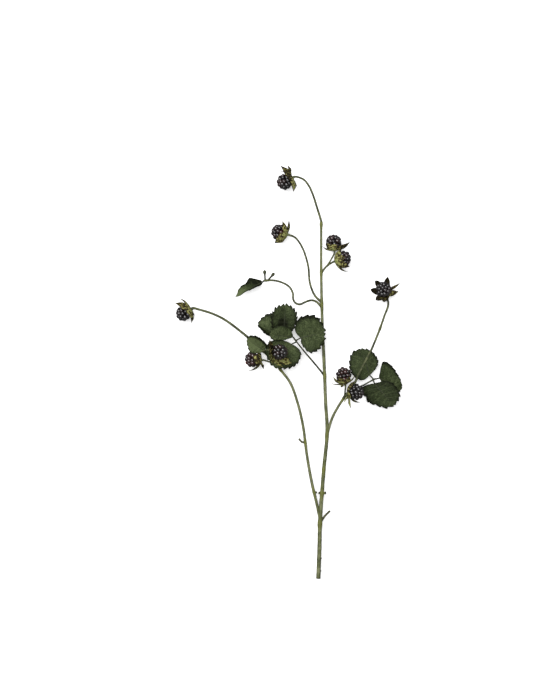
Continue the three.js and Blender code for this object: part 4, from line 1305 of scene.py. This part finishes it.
def sepal_line(name, tip, root, layer):
    """Down the middle of a sepal, its places from the calyx's foot to its tip, the way out from the berry
    at each, and how far it stands off the berry."""
    way, side, front = berry_directions(name)
    to_tip = tip - berry_middles[name]
    reach = to_tip.angle(-way)
    stands_off = to_tip.length / MM - SEPAL_OFF
    tip_turn = math.degrees(math.atan2(-to_tip.dot(side), to_tip.dot(front)))
    lean = (tip_turn - root + 180) % 360 - 180
    rows = []
    for i in range(SEPAL_ROWS + 1):
        share = i / SEPAL_ROWS
        round_by = math.radians(root + lean * share**1.2)
        sideways = front * math.cos(round_by) - side * math.sin(round_by)
        out = sideways * math.sin(reach * share) - way * math.cos(reach * share)
        off = stands_off * share**2
        rows.append((berry_middles[name] + out * (SEPAL_OFF + SEPAL_LAYER * layer + off) * MM, out, off))
    return rows


def make_sepal(line, width, root_age, tip_age, chance):
    """One sepal along its line, cupped to the berry, with a low keel down its middle and wavy margins."""
    cells = dict(x_subdivisions=SEPAL_ROWS, y_subdivisions=2 * SEPAL_HALF_ACROSS, size=2)
    sepal = begin(bpy.ops.mesh.primitive_grid_add, "sepal", **cells)
    wave = chance.uniform(0, 2 * math.pi)
    ages = []
    flats = []
    for vertex in sepal.data.vertices:
        row = round((vertex.co.x + 1) / 2 * SEPAL_ROWS)
        share = row / SEPAL_ROWS
        across = vertex.co.y
        place, out, off = line[row]
        tangent = (line[min(row + 1, SEPAL_ROWS)][0] - line[max(row - 1, 0)][0]).normalized()
        outward = (out - tangent * out.dot(tangent)).normalized()
        body = math.sin(math.pi * min(1, 0.16 + 0.84 * share**1.35)) ** (0.5 + 0.7 * share)
        half = max(width / 2 * body, SEPAL_NECK * (1 - share) ** 0.7 + SEPAL_TIP)
        y = across * half
        cupped = y * y / (2 * SEPAL_OFF) * max(0, 1 - off / FLATTER)
        wavy = SEPAL_WAVY * across**2 * math.sin(3 * math.pi * share + wave) * share
        keel = KEEL * hump(y, KEEL_WIDTH) * (1 - share)
        inward = cupped + wavy - keel
        vertex.co = place + (tangent.cross(outward) * y - outward * inward) * MM
        flats.append((SEPAL_SPAN * share, y))
        browner = MARGIN_OLDER * abs(across) ** 3
        ages.append(root_age + (tip_age - root_age) * share**1.3 + browner)
    shade_points(sepal, "age", ages)
    lay_flat(sepal, flats)
    wall = sepal.modifiers.new("wall", "SOLIDIFY")
    wall.thickness = SEPAL_THICKNESS
    wall.offset = 0
    smooth = sepal.modifiers.new("smooth", "SUBSURF")
    smooth.levels = 1
    smooth.render_levels = 1
    only(sepal)
    bpy.ops.object.modifier_apply(modifier="wall")
    bpy.ops.object.modifier_apply(modifier="smooth")
    bpy.ops.object.shade_smooth()
    return sepal


for seed, (name, sepals) in enumerate(CALYXES.items()):
    chance = random.Random(200 + seed)
    cup_sizes = dict(segments=CUP_SEGMENTS, ring_count=CUP_RINGS, radius=CUP_RADIUS)
    cup = begin(bpy.ops.mesh.primitive_uv_sphere_add, name + "_sepals", **cup_sizes)
    edit_all(cup)
    bpy.ops.transform.resize(value=(1, 1, CUP_DEPTH))
    bpy.ops.transform.translate(value=(0, 0, CUP_RISE))
    bpy.ops.object.mode_set(mode="OBJECT")
    bpy.ops.object.shade_smooth()
    shade_points(cup, "age", [CUP_AGE] * len(cup.data.vertices))
    way, side, front = berry_directions(name)
    upright = Matrix((front, side, way)).transposed().to_4x4()
    cup.data.transform(Matrix.Translation(berry_middles[name] - way * SEPAL_OFF * MM) @ upright)
    grown = []
    for layer, ((x, y, up), width, root, root_age, tip_age) in enumerate(sepals):
        tip = from_cut((x, y, 0))
        tip.z = berry_middles[name].z + up * MM
        grown.append(make_sepal(sepal_line(name, tip, root, layer), width, root_age, tip_age, chance))
    join_all(cup, grown)
    cup.data.materials.append(calyx_down)
    edit_all(cup)
    bpy.ops.mesh.normals_make_consistent(inside=False)
    bpy.ops.object.mode_set(mode="OBJECT")
    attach(cup, "root")
    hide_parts(name + "_calyx")

# ---- Buds ----
# Two flower buds, still shut, on thin stalks at the end of the curly twig: a dark green oval of folded
# sepals that comes to a point.
BUDS = {
    "upright_bud": (0.985, 8.5, (-0.05, 0.95, 0.25)),
    "leaning_bud": (0.95, 8, (0.65, 0.7, 0.3)),
}
BUD_RADIUS = 2.3 * MM
BUD_LENGTH = 5.5 * MM
BUD_STALK_RADII = (0.95, 0.8)
BUD_STALK_STEP = 0.8 * MM
BUD_SEATED = 0.3 * MM  # how far the stalk's end is inside the bud
BUD_SEGMENTS = 20
BUD_RINGS = 14
BUD_GROOVE = 0.09  # how deep the folds between its five sepals are, over its radius
BUD_NARROWS = 0.4  # how much of its width it loses towards its point
for name, (share, stalk_length, way) in BUDS.items():
    way = Vector(way).normalized()
    root = place_on(lines["curly_twig"], share)
    neck = root + way * stalk_length * MM
    stalk_line = smooth_line([root, root.lerp(neck, 0.5), neck], BUD_STALK_STEP)
    stalk = sweep_stem(name + "_stalk", stalk_line, BUD_STALK_RADII, leaf_stalk_bark, root=0.4, foot=0.8)
    bud_sizes = dict(segments=BUD_SEGMENTS, ring_count=BUD_RINGS, radius=BUD_RADIUS)
    bud = begin(bpy.ops.mesh.primitive_uv_sphere_add, name + "_sepals", **bud_sizes)
    for vertex in bud.data.vertices:
        up = vertex.co.z / BUD_RADIUS
        around = math.atan2(vertex.co.y, vertex.co.x)
        ribbed_by = 1 - BUD_GROOVE * abs(math.sin(2.5 * around + up))
        narrow = 1 - BUD_NARROWS * max(0, up) ** 1.5
        vertex.co.x *= ribbed_by * narrow
        vertex.co.y *= ribbed_by * narrow
        vertex.co.z = (up + 1) / 2 * BUD_LENGTH
    upright = way.to_track_quat("Z", "Y").to_matrix().to_4x4()
    bud.data.transform(Matrix.Translation(neck - way * BUD_SEATED) @ upright)
    bud.data.materials.append(leaf_stalk_bark)
    only(bud)
    bpy.ops.object.shade_smooth()
    join_all(bud, [stalk])
    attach(bud, "root")
    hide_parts(name)
bpy.data.objects.remove(stem_ring)

# ---- Floor, light and camera ----
# A plain pale floor, one wide soft light over it, a smaller one from the upper left for the shine on the
# berries, and a camera straight above that takes in the whole sprig with room round it.
FLOOR_SIDE = 30
FLOOR_BELOW = -0.2 * MM
FLOOR_PALE = (0.92, 0.92, 0.92, 1)
CAMERA_HEIGHT = 2.0
FIELD_HEIGHT = 0.875  # metres of the floor from the lower edge of the view to the upper one
SPRIG_HEIGHT = 0.012
FLOOR_GLOW = 0.4
STUDIO_GLOW = 0.25
SENSOR_WIDTH = 36
VIEW_MIDDLE = (-48, 287, 0)

floor = begin(bpy.ops.mesh.primitive_plane_add, "floor", size=FLOOR_SIDE, location=(0, 0, FLOOR_BELOW))
pale_floor, floor_tree, floor_shader = new_material("pale_floor", roughness=0.9, gloss=0.1)
floor_shader.inputs["Base Color"].default_value = FLOOR_PALE
floor_shader.inputs["Emission Color"].default_value = (1, 1, 1, 1)
floor_shader.inputs["Emission Strength"].default_value = FLOOR_GLOW
floor.data.materials.append(pale_floor)
floor.visible_diffuse = False
floor.visible_glossy = False

world = bpy.data.worlds.new("studio")
world.use_nodes = True
world.node_tree.nodes["Background"].inputs["Color"].default_value = (1, 1, 1, 1)
world.node_tree.nodes["Background"].inputs["Strength"].default_value = STUDIO_GLOW
bpy.context.scene.world = world


def add_softbox(name, place, aim, size, power):
    """A square soft light at a place, aimed at another."""
    light = bpy.data.lights.new(name, "AREA")
    light.size = size
    light.energy = power
    lamp = bpy.data.objects.new(name, light)
    bpy.context.collection.objects.link(lamp)
    lamp.location = place
    lamp.rotation_euler = (Vector(aim) - Vector(place)).to_track_quat("-Z", "Y").to_euler()


add_softbox("overhead_softbox", (-0.3, 0.5, 3.2), aim=(0, 0, 0), size=2.6, power=105)
add_softbox("side_softbox", (-1.3, 1.3, 1.8), aim=(0, 0, 0), size=1.0, power=36)

middle = from_cut(VIEW_MIDDLE)
camera_data = bpy.data.cameras.new("camera")
camera_data.sensor_width = SENSOR_WIDTH
camera_data.lens = SENSOR_WIDTH * (CAMERA_HEIGHT - SPRIG_HEIGHT) / FIELD_HEIGHT
camera = bpy.data.objects.new("camera", camera_data)
bpy.context.collection.objects.link(camera)
camera.location = (middle.x, middle.y, CAMERA_HEIGHT)
camera.rotation_euler = (0, 0, 0)
bpy.context.scene.camera = camera
bpy.context.scene.view_settings.view_transform = "Standard"
